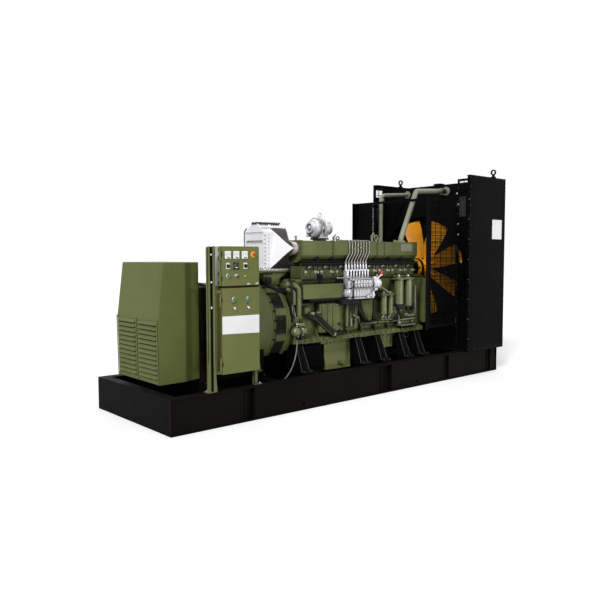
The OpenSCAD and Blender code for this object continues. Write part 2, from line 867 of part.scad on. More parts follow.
module lifting_eyes() {
    color(black) both_sides() difference() {
        union() {
            translate([eye_x, -eye_y, panel_top]) cylinder(r = 30, h = 20);
            translate([eye_x, -eye_y, panel_top + 20]) cylinder(r = 14, h = 30);
            translate([eye_x - 9, -eye_y, eye_z]) rotate([0, 90, 0]) cylinder(r = 37, h = 18);
        }
        translate([eye_x - 10, -eye_y, eye_z]) rotate([0, 90, 0]) cylinder(r = eye_r, h = 20);
    }
}

// ---- coolant pipes ----

module coolant_pipe_near() {
    color("darkseagreen") {
        tube(route([[969, near_y, manifold_top + 12], [969, near_y, 1760], [1254, near_y, 2352], [core_x - 14, near_y, 2393]], 45), [0, 1, 0], pipe_near_r);
        translate([969, near_y, manifold_top]) cylinder(r = pipe_near_r + 20, h = 12);
        rod_x(pipe_near_r + 24, core_x - 14, core_x, near_y, 2393);
    }
}

module coolant_pipe_far() {
    x = gear_x + 34;
    color("darkseagreen") {
        tube(route([[x, far_y, deck_z + 2], [x, far_y, 2350], [core_x - 14, far_y, 2390]], 70), [0, 1, 0], pipe_far_r);
        translate([x, far_y, deck_z - 10]) cylinder(r = pipe_far_r + 7, h = 12);
        rod_x(pipe_far_r + 24, core_x - 14, core_x, far_y, 2390);
    }
}

module coolant_return_pipe() {
    face = gear_x + gear_len;
    color("darkseagreen") {
        tube(route([[face + 14, far_y, 800], [1580, far_y, 800], [1580, far_y, 455], [core_x - 14, far_y, 455]], 90), [0, 1, 0], 38);
        rod_x(60, face, face + 14, far_y, 800);
        rod_x(60, core_x - 14, core_x, far_y, 455);
    }
}

// ---- control cabinets ----

module control_stand() {
    color(olive) {
        difference() {
            block([post_x, post_y, base_h], [post_x + post_w, post_y + post_d, post_top]);
            block([post_x + 5, post_y + 5, base_h - 1], [post_x + post_w - 5, post_y + post_d - 5, post_top + 1]);
            block([post_x + 26, post_y - 1, base_h - 1], [post_x + 48, post_y + 6, post_top + 1]);
        }
        block([post_x - 14, post_y, base_h], [post_x + post_w + 14, post_y + 70, base_h + 10]);
        for (z = [700, 1220, 1440]) {
            block([post_x + 5, post_y + post_d, z], [post_x + 35, arm_y + 30, z + 30]);
            block([post_x + 35, arm_y, z], [cabinet_x, arm_y + 30, z + 30]);
        }
        block([cabinet_x + cabinet_w - 45, box_y + 4, base_h], [cabinet_x + cabinet_w - 4, box_y + 34, power_z]);
    }
}

module cabinet_shell(z, h) {
    outer = [cabinet_w, cabinet_d, h];
    t = cabinet_t;
    difference() {
        translate([cabinet_x, box_y, z]) cube(outer);
        translate([cabinet_x + t, box_y - 1, z + t]) cube([cabinet_w - 2 * t, cabinet_d - t + 1, h - 2 * t]);
    }
}

// The cabinet's half of a hinge: a leaf on its side, two knuckles and the pin
module hinge_pin(z) {
    for (dz = [-knuckle_h - 1, knuckle_h + 1]) {
        translate([hinge_x, hinge_y, z + dz - knuckle_h / 2]) cylinder(r = knuckle_r, h = knuckle_h);
        block([cabinet_x - 4, hinge_y, z + dz - knuckle_h / 2], [cabinet_x, box_y + 30, z + dz + knuckle_h / 2]);
    }
    translate([hinge_x, hinge_y, z - 1.5 * knuckle_h]) cylinder(r = pin_r, h = 3 * knuckle_h);
}

// The door's half of a hinge
module door_knuckle(z) {
    difference() {
        union() {
            translate([hinge_x, hinge_y, z - knuckle_h / 2]) cylinder(r = knuckle_r, h = knuckle_h);
            block([hinge_x, hinge_y - knuckle_r, z - knuckle_h / 2], [cabinet_x + 4, hinge_y - knuckle_r + 4, z + knuckle_h / 2]);
        }
        translate([hinge_x, hinge_y, z - knuckle_h]) cylinder(r = pin_r + shaft_gap, h = 2 * knuckle_h);
    }
}

module cabinet_door(z, h) {
    t = 3;
    difference() {
        block([cabinet_x + 2, door_y, z + 2], [cabinet_x + cabinet_w - 2, door_y + door_t, z + h - 2]);
        block([cabinet_x + 2 + t, door_y + t, z + 2 + t],
            [cabinet_x + cabinet_w - 2 - t, door_y + door_t + 1, z + h - 2 - t]);
    }
}

control_hinges = [control_z + 70, control_z + control_h - 70];
power_hinges = [power_z + 95, power_z + power_h - 110];

module control_box() {
    color(olive) {
        cabinet_shell(control_z, control_h);
        for (z = control_hinges) hinge_pin(z);
    }
}

module control_door() {
    color(olive) {
        cabinet_door(control_z, control_h);
        for (z = control_hinges) door_knuckle(z);
    }
}

module face_plate(x, z, w, h, t) {
    block([x - w / 2, door_y - t, z - h / 2], [x + w / 2, door_y, z + h / 2]);
}

module face_knob(x, z, r, t) {
    translate([x, door_y, z]) rotate([90, 0, 0]) cylinder(r = r, h = t);
}

// Meters, selectors, gauge, lamp, key switch, stop button and two latches of the upper door
meter_x = [-1880, -1786, -1692];
selector_x = [-1876, -1680];
module control_instruments() {
    color("ivory") for (x = meter_x) face_plate(x, 1558, 68, 72, 9);
    color("yellow") face_knob(-1592, 1562, 28, 8);
    color("red") translate([-1592, door_y - 8, 1562]) rotate([90, 0, 0]) cylinder(r = 18, h = 20);
    color("black") {
        for (x = selector_x) {
            face_plate(x, 1458, 44, 56, 8);
            translate([x, door_y - 8, 1458]) rotate([90, 0, 0]) cylinder(r = 13, h = 16);
        }
        face_plate(-1787, 1457, 62, 64, 8);
        face_knob(-1777, 1366, 15, 22);
    }
    color("green") face_knob(-1877, 1367, 17, 14);
    color("tan") face_knob(-1687, 1364, 12, 14);
    color("silver") for (x = [-1646, -1549]) face_plate(x, 1290, 34, 16, 9);
}

module power_box() {
    color(olive) {
        cabinet_shell(power_z, power_h);
        block([cabinet_x + 10, box_y + 30, power_z + power_h], [cabinet_x + cabinet_w - 10, box_y + cabinet_d - 10, control_z]);
        for (z = power_hinges) hinge_pin(z);
    }
}

module power_door() {
    color(olive) {
        cabinet_door(power_z, power_h);
        for (z = power_hinges) door_knuckle(z);
    }
}

// Push buttons and key switches of the lower door
module power_switches() {
    for (x = [-1815, -1655]) {
        color("green") face_knob(x, 1152, 17, 14);
        color("silver") face_knob(x, 1073, 15, 20);
    }
}

base_side_rails();
base_end_rails();
base_cross_beams();
support_feet();
alternator_cover();
alternator_stator();
alternator_shell();
adapter_ring();
flywheel_housing();
crankcase();
oil_pan();
gear_case();
cylinder_heads();
intake_manifold_near();
intake_manifold_far();
exhaust_manifold();
turbocharger();
charge_air_cooler();
cooler_bracket();
cooler_hoods();
injection_pumps();
injection_lines();
pump_trays();
side_covers();
filter_canisters();
starter_motor();
starter_cable();
fan_drive();
cooling_fan();
fan_belts();
fan_guard_near();
fan_guard_far();
fan_guard_bar();
fan_guard_louvres();
fan_shroud();
radiator_base();
radiator_front_strips();
radiator_core();
radiator_top_tank();
radiator_bottom_tank();
radiator_side_near();
radiator_side_far();
radiator_rear_guard();
lifting_eyes();
coolant_pipe_near();
coolant_pipe_far();
coolant_return_pipe();
control_stand();
control_box();
control_door();
control_instruments();
power_box();
power_door();
power_switches();
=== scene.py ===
import bpy
import bmesh
from itertools import product
from math import sin, cos, tan, pi, radians, atan2
from mathutils import Vector, Matrix


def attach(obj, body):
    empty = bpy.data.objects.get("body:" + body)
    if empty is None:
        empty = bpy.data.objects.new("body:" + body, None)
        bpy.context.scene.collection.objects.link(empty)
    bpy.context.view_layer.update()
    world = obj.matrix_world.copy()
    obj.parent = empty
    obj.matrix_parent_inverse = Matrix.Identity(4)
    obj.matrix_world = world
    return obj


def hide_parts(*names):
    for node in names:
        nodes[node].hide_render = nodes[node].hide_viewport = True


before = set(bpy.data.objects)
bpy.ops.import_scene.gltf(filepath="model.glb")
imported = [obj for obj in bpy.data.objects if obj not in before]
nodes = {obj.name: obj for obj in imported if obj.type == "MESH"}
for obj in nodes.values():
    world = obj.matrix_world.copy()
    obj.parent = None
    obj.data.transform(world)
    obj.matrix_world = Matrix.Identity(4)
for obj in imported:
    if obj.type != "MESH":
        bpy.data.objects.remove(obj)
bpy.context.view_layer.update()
scene = bpy.context.scene
print("frame loaded:", len(nodes), "nodes")

# camera at the set's front left, standing height
viewpoint = {"place": (-5.256, -5.5665, 1.548), "lens": 39.0, "sensor": 36.0, "clip": (0.1, 200.0),
             "right": (0.75356, -0.65738, -0.00237), "upward": (0.04631, 0.04949, 0.99770)}


def makeCamera():
    data = bpy.data.cameras.new("studioCamera")
    data.lens, data.sensor_width = viewpoint["lens"], viewpoint["sensor"]
    data.clip_start, data.clip_end = viewpoint["clip"]
    cam = bpy.data.objects.new("studioCamera", data)
    right, upward = (Vector(viewpoint[key]).normalized() for key in ("right", "upward"))
    turn = Matrix((right, upward, right.cross(upward).normalized())).transposed().to_4x4()
    cam.matrix_world = Matrix.Translation(viewpoint["place"]) @ turn
    scene.collection.objects.link(cam)
    scene.camera = cam


makeCamera()
scene.view_settings.view_transform = "Standard"

# starter cable: from the terminal down to a cross beam; lengths in metres here, as in the CAD route
starterCable = {"bends": [(-0.862, -0.482, 0.690), (-0.862, -0.482, 0.410), (-1.080, -0.570, 0.270),
    (-1.2304, -0.570, 0.270)], "points": 25, "radius": 0.006}


def cableRoute():
    a, b, c, d = [Vector(p) for p in starterCable["bends"]]
    last = starterCable["points"] - 1
    shares = [(k / last, 1 - k / last) for k in range(last + 1)]
    return [u * u * u * a + 3 * u * u * t * b + 3 * u * t * t * c + t * t * t * d for t, u in shares]


print("camera placed")

# a finish is its colour, a shade patch, settled dust and how dusty it is, roughness from and to,
# surface peel, grain and specular, then metal, coat and the colour of the painted shade in its corners
looks = {
    "baseBlack": ((0.005, 0.004, 0.0027), (0.0036, 0.0028, 0.0019), (0.012, 0.01, 0.007),
        0.15, (0.42, 0.62), 0.04, 260, 0.04),
    "coverGreen": ((0.108, 0.125, 0.036), (0.094, 0.11, 0.03), (0.17, 0.18, 0.09),
        0.1, (0.36, 0.5), 0.06, 380, 0.12),
    "engineGreen": ((0.125, 0.14, 0.05), (0.086, 0.098, 0.033), (0.15, 0.155, 0.085),
        0.16, (0.32, 0.5), 0.1, 240, 0.2, 0, 0, (0.007, 0.007, 0.004)),
    # painted shade: a darker copy of engineGreen, for the shade on the heads under the manifold
    "headGreenShaded": ((0.092, 0.102, 0.038), (0.05, 0.056, 0.02), (0.13, 0.135, 0.08),
        0.16, (0.33, 0.5), 0.1, 200, 0.2, 0, 0, (0.006, 0.006, 0.004)),
    # painted light: a lighter copy of the engine green, for the light on the oil pan's front
    "sumpGreenLit": ((0.225, 0.245, 0.1), (0.19, 0.21, 0.08), (0.2, 0.205, 0.13),
        0.08, (0.36, 0.52), 0.1, 300, 0.2),
    "filterGreen": ((0.12, 0.135, 0.05), (0.094, 0.108, 0.038), (0.15, 0.155, 0.085),
        0.08, (0.17, 0.25), 0.02, 420, 0.7, 0, 0, (0.01, 0.01, 0.006)),
    "cabinetGreen": ((0.146, 0.158, 0.052), (0.122, 0.134, 0.042), (0.17, 0.17, 0.08),
        0.1, (0.38, 0.52), 0.07, 420, 0.12),
    "frameBlack": ((0.003, 0.003, 0.003), (0.0018, 0.0018, 0.0019), (0.01, 0.01, 0.01),
        0.2, (0.42, 0.6), 0.04, 300, 0.03),
    "bareCasting": ((0.06, 0.055, 0.05), (0.035, 0.032, 0.03), (0.1, 0.09, 0.08),
        0.25, (0.55, 0.8), 0.45, 160, 0.35, 0.35),
    "pumpSilver": ((0.86, 0.86, 0.9), (0.66, 0.66, 0.7), (0.76, 0.76, 0.78),
        0.1, (0.22, 0.36), 0.2, 300, 0.5, 0.35, 0, (0.016, 0.016, 0.015)),
    "turboSilver": ((0.72, 0.73, 0.76), (0.52, 0.53, 0.56), (0.5, 0.5, 0.5),
        0.12, (0.28, 0.44), 0.24, 260, 0.5, 0.2),
    "lineSteel": ((0.36, 0.35, 0.32), (0.24, 0.23, 0.21), (0.5, 0.5, 0.5),
        0.06, (0.2, 0.36), 0.05, 500, 0.5, 0.6),
    "zincBolt": ((0.55, 0.55, 0.5), (0.34, 0.34, 0.31), (0.4, 0.4, 0.38),
        0.1, (0.28, 0.45), 0.08, 500, 0.5, 0.85),
    "dimSteel": ((0.12, 0.12, 0.1), (0.06, 0.06, 0.05), (0.12, 0.12, 0.1),
        0.1, (0.35, 0.5), 0.06, 400, 0.3, 0.4),
    "darkBolt": ((0.03, 0.03, 0.032), (0.014, 0.014, 0.015), (0.05, 0.05, 0.05),
        0.15, (0.35, 0.5), 0.06, 400, 0.2, 0.4),
    "coolerWhite": ((0.82, 0.82, 0.85), (0.76, 0.76, 0.8), (0.66, 0.65, 0.62),
        0.08, (0.36, 0.52), 0.1, 300, 0.4),
    "hoodGrey": ((0.042, 0.036, 0.032), (0.03, 0.025, 0.022), (0.08, 0.073, 0.066),
        0.2, (0.4, 0.58), 0.14, 260, 0.2),
    "collarSteel": ((0.44, 0.4, 0.37), (0.24, 0.2, 0.18), (0.5, 0.48, 0.45),
        0.08, (0.26, 0.42), 0.05, 300, 0.5, 0.7),
    "fanOrange": ((0.8, 0.36, 0.008), (0.62, 0.22, 0.005), (0.6, 0.42, 0.16),
        0.04, (0.32, 0.48), 0.08, 320, 0.15),
    "beltRubber": ((0.012, 0.012, 0.012), (0.007, 0.007, 0.007), (0.05, 0.05, 0.05),
        0.3, (0.65, 0.85), 0.25, 500, 0.06),
    "hoseRubber": ((0.01, 0.01, 0.011), (0.006, 0.006, 0.007), (0.04, 0.04, 0.04),
        0.2, (0.4, 0.6), 0.15, 400, 0.16),
    "cableSheath": ((0.17, 0.17, 0.165), (0.12, 0.12, 0.115), (0.24, 0.23, 0.22),
        0.1, (0.38, 0.52), 0.08, 700, 0.4),
    "pipeGrey": ((0.215, 0.225, 0.165), (0.17, 0.178, 0.125), (0.36, 0.36, 0.29),
        0.12, (0.3, 0.44), 0.06, 360, 0.45),
    "panelWhite": ((0.8, 0.8, 0.78), (0.72, 0.72, 0.7), (0.68, 0.67, 0.63),
        0.06, (0.28, 0.4), 0.04, 600, 0.45),
    "plateWhite": ((0.78, 0.78, 0.79), (0.7, 0.7, 0.71), (0.66, 0.65, 0.62),
        0.06, (0.3, 0.42), 0.05, 500, 0.45),
    # painted light: a pale grey for the lit hinge side of the upper box
    "hingeLightGrey": ((0.42, 0.43, 0.4), (0.33, 0.34, 0.31), (0.5, 0.5, 0.46),
        0.1, (0.32, 0.46), 0.06, 420, 0.4),
    "screenWire": ((0.03, 0.032, 0.026), (0.018, 0.02, 0.016), (0.07, 0.07, 0.06),
        0.15, (0.36, 0.52), 0.08, 600, 0.15),
    "bezelBlack": ((0.012, 0.012, 0.013), (0.008, 0.008, 0.009), (0.04, 0.04, 0.04),
        0.08, (0.3, 0.42), 0.06, 700, 0.2),
    "knobRed": ((0.52, 0.03, 0.014), (0.4, 0.02, 0.01), (0.5, 0.2, 0.15),
        0.05, (0.22, 0.34), 0.05, 600, 0.5),
    "plateYellow": ((0.8, 0.5, 0.04), (0.7, 0.42, 0.03), (0.7, 0.55, 0.25),
        0.06, (0.3, 0.42), 0.05, 600, 0.45),
    "lensGreen": ((0.01, 0.2, 0.065), (0.008, 0.13, 0.045), (0.2, 0.4, 0.25),
        0.04, (0.14, 0.24), 0.03, 700, 0.5, 0, 0.6),
    "lensAmber": ((0.46, 0.3, 0.16), (0.36, 0.22, 0.11), (0.5, 0.4, 0.3),
        0.04, (0.14, 0.24), 0.03, 700, 0.5, 0, 0.6),
    "chrome": ((0.78, 0.78, 0.79), (0.62, 0.62, 0.64), (0.6, 0.6, 0.6),
        0.04, (0.14, 0.26), 0.03, 700, 0.5, 1),
    "wireZinc": ((0.1, 0.1, 0.1), (0.05, 0.05, 0.05), (0.3, 0.29, 0.27),
        0.15, (0.36, 0.52), 0.08, 600, 0.2, 0.3),
    "coreFins": ((0.008, 0.008, 0.009), (0.004, 0.004, 0.005), (0.04, 0.04, 0.04),
        0.25, (0.45, 0.65), 0.3, 420, 0.08, 0.3),
}


def addNode(tree, kind, values=(), **settings):
    # a new shader node; its values are numbers, colours or other nodes' outputs
    node = tree.nodes.new("ShaderNode" + kind)
    for key, value in settings.items():
        setattr(node, key, value)
    plug(tree, node, dict(values))
    return node


def plug(tree, node, values):
    for key, value in values.items():
        if isinstance(value, bpy.types.NodeSocket):
            tree.links.new(value, node.inputs[key])
        else:
            node.inputs[key].default_value = (*value, 1) if isinstance(value, tuple) else value


def colourMix(tree, factor, low, high):
    return addNode(tree, "Mix", {0: factor, 6: low, 7: high}, data_type="RGBA").outputs[2]


def spread(tree, value, low, high, outLow=0.0, outHigh=1.0):
    return addNode(tree, "MapRange", {"Value": value, "From Min": low, "From Max": high, "To Min": outLow,
        "To Max": outHigh}, clamp=True).outputs[0]


def cloud(tree, coords, size, detail=3.0):
    return addNode(tree, "TexNoise",
        {"Scale": size, "Detail": detail, "Roughness": 0.55, "Vector": coords}).outputs["Fac"]


def startMaterial(name):
    material = bpy.data.materials.new(name)
    material.use_nodes = True
    tree = material.node_tree
    return material, tree, tree.nodes["Principled BSDF"], addNode(tree, "TexCoord").outputs["Object"]


def mixFinish(name, colour, shade, dust, dusty, rough, peel, grain, specular, metal=0.0, coat=0.0,
        cornerShade=None):
    material, tree, shader, coords = startMaterial(name)
    patches = spread(tree, cloud(tree, coords, 2.3, 4.0), 0.36, 0.66)
    fine = cloud(tree, coords, grain * 0.14, 2.0)
    tone = colourMix(tree, patches, shade, colour)
    # dust settles on faces that look up, thicker in the patches
    normal = addNode(tree, "SeparateXYZ", {0: addNode(tree, "NewGeometry").outputs["Normal"]})
    settled = addNode(tree, "Math", {0: spread(tree, normal.outputs["Z"], 0.25, 1.0, 0.0, dusty),
        1: spread(tree, fine, 0.3, 0.7, 0.5, 1.0)}, operation="MULTIPLY")
    tone = colourMix(tree, settled.outputs[0], tone, dust)
    if cornerShade:
        # painted shade: darker where parts meet, from ambient occlusion
        corner = addNode(tree, "AmbientOcclusion", {"Distance": 0.09}, samples=6)
        tone = colourMix(tree, spread(tree, corner.outputs["AO"], 0.25, 0.85), cornerShade, tone)
    bump = addNode(tree, "Bump",
        {"Strength": peel, "Distance": 0.002, "Height": cloud(tree, coords, grain, 2.0)})
    plug(tree, shader, {"Base Color": tone, "Roughness": spread(tree, fine, 0.3, 0.7, *rough),
        "Normal": bump.outputs["Normal"], "Metallic": metal, "Specular IOR Level": specular,
        "Coat Weight": coat, "Coat Roughness": 0.08})
    return material


finishes = {name: mixFinish(name, *look) for name, look in looks.items()}
print("finishes mixed:", len(finishes))

# shape helpers; all piece sizes below are in millimetres, and a piece is scaled once when it is finished
scale = 0.001
ahead, aft, near, away, up, down = (1, 0, 0), (-1, 0, 0), (0, -1, 0), (0, 1, 0), (0, 0, 1), (0, 0, -1)
screwHead = [(0, 7), (2.5, 6.3), (4.2, 3.5), (4.6, 0)]


def addShell(bm, points, faces):
    made = [bm.verts.new(p) for p in points]
    for face in faces:
        bm.faces.new([made[i] for i in face])


def addBlock(bm, low, high, edge=2.0):
    # a box between two opposite corners, with its edges and corners taken off
    low, high = [Vector(pick(a, b) for a, b in zip(low, high)) for pick in (min, max)]
    edge = min(edge, min(high - low) * 0.45)
    points, index, faces = [], {}, []
    for s in product((0, 1), repeat=3):
        for axis in range(3):
            inset = [0 if a == axis else edge for a in range(3)]
            index[s, axis] = len(points)
            points.append([high[a] - inset[a] if s[a] else low[a] + inset[a] for a in range(3)])

    def corner(axis, sa, sb, sc, moved):
        s = [sa, sb, sc]
        return index[tuple(s[-axis:] + s[:-axis]) if axis else tuple(s), moved]
    for axis in range(3):
        b, c = (axis + 1) % 3, (axis + 2) % 3
        for s in (0, 1):
            ring = [corner(axis, s, sb, sc, axis) for sb, sc in ((0, 0), (1, 0), (1, 1), (0, 1))]
            faces.append(ring if s else ring[::-1])
        # chamfers that run along this axis
        for sb, sc in product((0, 1), repeat=2):
            ring = [corner(axis, sa, sb, sc, other) for sa, other in ((0, b), (1, b), (1, c), (0, c))]
            faces.append(ring if sb == sc else ring[::-1])
    for s in product((0, 1), repeat=3):
        ring = [index[s, a] for a in range(3)]
        faces.append(ring if sum(s) % 2 else ring[::-1])
    addShell(bm, points, faces)


def axisFrame(direction):
    along = Vector(direction).normalized()
    side = Vector(up) if abs(along.z) < 0.9 else Vector(ahead)
    u = side.cross(along).normalized()
    return along, u, along.cross(u)


def joinRows(bm, rows, loop, capped):
    # skins neighbouring rows of vertices; a row of one vertex is a point
    for a, b in list(zip(rows, rows[1:])) + ([(rows[-1], rows[0])] if loop else []):
        sides = max(len(a), len(b))
        for k in range(sides if sides > 1 else 0):
            j = (k + 1) % sides
            if len(a) == 1:
                bm.faces.new((a[0], b[j], b[k]))
            elif len(b) == 1:
                bm.faces.new((a[k], a[j], b[0]))
            else:
                bm.faces.new((a[k], a[j], b[j], b[k]))
    if capped:
        for row in (rows[0][::-1], rows[-1]):
            if len(row) > 1:
                bm.faces.new(row)


def addLathe(bm, profile, at, direction, sides=32, ring=False):
    # profile is (distance along, radius) pairs; a radius of 0 closes an end, ring joins the last to the first
    along, u, v = axisFrame(direction)
    rows = []
    for d, r in profile:
        centre = Vector(at) + along * d
        turns = [2 * pi * k / sides for k in range(sides)]
        rows.append([bm.verts.new(centre)] if r <= 1e-6 else
                    [bm.verts.new(centre + u * r * cos(t) + v * r * sin(t)) for t in turns])
    joinRows(bm, rows, ring, not ring)


def addBand(bm, profile, at, direction, sides):
    addLathe(bm, profile, at, direction, sides, ring=True)


def addRod(bm, start, end, r, sides=24, edge=1.0):
    start, end = Vector(start), Vector(end)
    length = (end - start).length
    edge = min(edge, r * 0.4, length * 0.4)
    addLathe(bm, [(0, r - edge), (edge, r), (length - edge, r), (length, r - edge)], start, end - start,
        sides)


def addTube(bm, path, r, sides=12, closed=False):
    path = [Vector(p) for p in path]
    n = len(path)
    rows, u = [], None
    for i, p in enumerate(path):
        before = path[i - 1] if (i or closed) else p
        after = path[(i + 1) % n] if (i < n - 1 or closed) else p
        along = (after - before).normalized()
        u = axisFrame(along)[1] if u is None else u
        u = (u - along * u.dot(along)).normalized()
        v = along.cross(u)
        radius = r[i] if isinstance(r, list) else r
        rows.append([bm.verts.new(p + radius * (u * cos(2 * pi * k / sides) + v * sin(2 * pi * k / sides)))
                     for k in range(sides)])
    joinRows(bm, rows, closed, not closed)


def fillet(path, radius, steps=6):
    # a route with its corners rounded
    path = [Vector(p) for p in path]
    out = [path[0]]
    for a, p, b in zip(path, path[1:], path[2:]):
        d1, d2 = (a - p).normalized(), (b - p).normalized()
        opening = d1.angle(d2)
        if opening > pi - 0.02:
            out.append(p)
            continue
        reach = radius / tan(opening / 2)
        centre = p + (d1 + d2).normalized() * radius / sin(opening / 2)
        u, v = (p + d1 * reach - centre) / radius, (p + d2 * reach - centre) / radius
        sweep = pi - opening
        for k in range(steps + 1):
            t = k / steps
            out.append(centre + radius * (u * sin(sweep * (1 - t)) + v * sin(sweep * t)) / sin(sweep))
    return out + [path[-1]]


def addPipe(bm, route, bend, r, sides, steps=6):
    addTube(bm, fillet(route, bend, steps), r, sides)


def addPrism(bm, outline, at, u, v, thick, edge=1.5):
    # a flat plate: its outline in the u, v plane, thickened along u x v, both rims chamfered
    at, u, v = Vector(at), Vector(u).normalized(), Vector(v).normalized()
    w = u.cross(v)
    if sum(a[0] * b[1] - b[0] * a[1] for a, b in zip(outline, outline[1:] + outline[:1])) < 0:
        outline = outline[::-1]
    inner = []
    for (ax, ay), (px, py), (bx, by) in zip(outline[-1:] + outline, outline, outline[1:] + outline[:1]):
        d1, d2 = Vector((px - ax, py - ay)).normalized(), Vector((bx - px, by - py)).normalized()
        m = Vector((-d1.y, d1.x)) + Vector((-d2.y, d2.x))
        m = m / max(m.length_squared / 2, 0.35)
        inner.append((px + m.x * edge, py + m.y * edge))
    edge = min(edge, thick * 0.4)
    rows = [[bm.verts.new(at + u * x + v * y + w * d) for x, y in shape]
            for shape, d in ((inner, 0), (outline, edge), (outline, thick - edge), (inner, thick))]
    joinRows(bm, rows, False, True)


def addPlate(bm, outline, at, thick, edge=1.5):
    # a plate that looks to the near side; its outline is (x, z) pairs
    addPrism(bm, outline, at, ahead, up, thick, edge)


def addSection(bm, outline, x, thick, edge=1.5):
    # a profile of (y, z) pairs that runs along the set from x
    addPrism(bm, outline, (x, 0, 0), away, up, thick, edge)


def roundedOutline(w, h, r, steps=5):
    points = []
    for cx, cy, a0 in ((w / 2 - r, h / 2 - r, 0), (r - w / 2, h / 2 - r, 90),
                       (r - w / 2, r - h / 2, 180), (w / 2 - r, r - h / 2, 270)):
        turns = [radians(a0 + 90 * k / steps) for k in range(steps + 1)]
        points += [(cx + r * cos(a), cy + r * sin(a)) for a in turns]
    return points


def addBolt(bm, at, direction, size=10.0, washer=True):
    # a hexagon head across its flats, with a washer under it
    r = size / cos(pi / 6) / 2
    base = size * 0.18 if washer else 0
    if washer:
        addLathe(bm, [(0, r * 1.35), (base, r * 1.35), (base, 0)], at, direction, 12)
    top = base + size * 0.62
    addLathe(bm, [(base * 0.5, r), (top - size * 0.08, r), (top, r * 0.84), (top, 0)], at, direction, 6)


def addBolts(bm, direction, size, *places):
    for place in places:
        addBolt(bm, place, direction, size)


def boltRing(bm, centre, direction, radius, count, size, washer=True):
    u, v = axisFrame(direction)[1:]
    for k in range(count):
        a = 2 * pi * k / count
        addBolt(bm, Vector(centre) + radius * (u * cos(a) + v * sin(a)), direction, size, washer)


def addAll(add, bm, *rows):
    # the same kind of part once for every row of its arguments
    for row in rows:
        add(bm, *row)


def addBlocks(bm, *rows):
    # rows are the six numbers of two corners, then the edge
    for row in rows:
        addBlock(bm, row[:3], row[3:6], *row[6:])


def around(count, shift=0.0):
    return [2 * pi * (k + shift) / count for k in range(count)]


def meshes(count):
    return [bmesh.new() for k in range(count)]


def finishPiece(name, bm, finish, body="set", slot=None, mirror=False, limit=38.0, replaces=(), extra=()):
    # mirror makes the same parts on the far side too; extra finishes are used by faces' own numbers
    if mirror:
        copy = bmesh.ops.duplicate(bm, geom=bm.verts[:] + bm.edges[:] + bm.faces[:])["geom"]
        for item in copy:
            if isinstance(item, bmesh.types.BMVert):
                item.co.y = -item.co.y
        bmesh.ops.reverse_faces(bm, faces=[f for f in copy if isinstance(f, bmesh.types.BMFace)])
    bmesh.ops.recalc_face_normals(bm, faces=bm.faces[:])
    for vert in bm.verts:
        vert.co *= scale
    for face in bm.faces:
        face.smooth = True
    for edge in bm.edges:
        if len(edge.link_faces) != 2 or edge.calc_face_angle(0.0) > radians(limit):
            edge.smooth = False
    mesh = bpy.data.meshes.new(name)
    bm.to_mesh(mesh)
    bm.free()
    for key in (finish, *extra):
        mesh.materials.append(finishes[key])
    piece = bpy.data.objects.new(name, mesh)
    scene.collection.objects.link(piece)
    piece.modifiers.new("evenShading", "WEIGHTED_NORMAL").keep_sharp = True
    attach(piece, body)
    if replaces:
        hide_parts(*replaces)
    return piece


def finishAll(slot, *rows, **more):
    # rows are a name, its mesh and finish, then the CAD parts it stands in for
    for name, bm, finish, *parts in rows:
        finishPiece(name, bm, finish, slot=slot, replaces=parts, **more)


# finish and edge rounding of the CAD parts, each under the look it wears
nodeFinish = {
    "baseBlack": {"base_side_rails": 2.5},
    "coverGreen": {"alternator_cover": 8.0},
    "sumpGreenLit": {"oil_pan": 5.0},
    "engineGreen": {"alternator_shell": 3.0, "adapter_ring": 2.5, "flywheel_housing": 4.0, "crankcase": 6.0,
        "gear_case": 5.0, "intake_manifold_near": 5.0, "intake_manifold_far": 5.0, "cooler_bracket": 4.0,
        "side_covers": 6.0, "filter_canisters": 3.0, "starter_motor": 2.0},
    "headGreenShaded": {"cylinder_heads": 4.0},
    "bareCasting": {"exhaust_manifold": 3.0},
    "turboSilver": {"turbocharger": 3.0},
    "pumpSilver": {"injection_pumps": 3.0},
    "lineSteel": {"injection_lines": 0.0},
    "coolerWhite": {"charge_air_cooler": 4.0},
    "hoodGrey": {"cooler_hoods": 2.0},
    "frameBlack": {"base_end_rails": 2.0, "base_cross_beams": 2.0, "support_feet": 4.0,
        "alternator_stator": 4.0, "pump_trays": 4.0, "fan_drive": 2.0, "fan_guard_near": 0.8,
        "fan_guard_far": 0.8, "fan_guard_bar": 1.0, "fan_guard_louvres": 0.8, "fan_shroud": 1.0,
        "radiator_base": 1.5, "radiator_front_strips": 0.8, "radiator_top_tank": 4.0,
        "radiator_bottom_tank": 4.0, "radiator_side_near": 1.0, "radiator_side_far": 1.0,
        "radiator_rear_guard": 0.8, "lifting_eyes": 2.0},
    "coreFins": {"radiator_core": 2.0},
    "fanOrange": {"cooling_fan": 1.0},
    "beltRubber": {"fan_belts": 1.0},
    "pipeGrey": {"coolant_pipe_near": 1.0, "coolant_pipe_far": 1.0, "coolant_return_pipe": 1.0},
    "cabinetGreen": {"control_stand": 1.0, "control_box": 1.0, "control_door": 1.2, "power_box": 1.0,
        "power_door": 1.2},
    "panelWhite": {"control_instruments": 1.0},
    "lensGreen": {"power_switches": 1.0},
}


def dressNodes():
    for finish, sizes in nodeFinish.items():
        for name, edge in sizes.items():
            part = nodes[name]
            for place in part.material_slots:
                place.material = finishes[finish]
            part.modifiers.new("weld", "WELD").merge_threshold = 0.00002
            if edge:
                bevel = part.modifiers.new("edges", "BEVEL")
                bevel.width, bevel.segments = edge * scale, 2
                bevel.limit_method, bevel.angle_limit = "ANGLE", radians(32)
                bevel.miter_outer = "MITER_ARC"
            part.modifiers.new("evenShading", "WEIGHTED_NORMAL").keep_sharp = True


dressNodes()
print("CAD parts dressed")
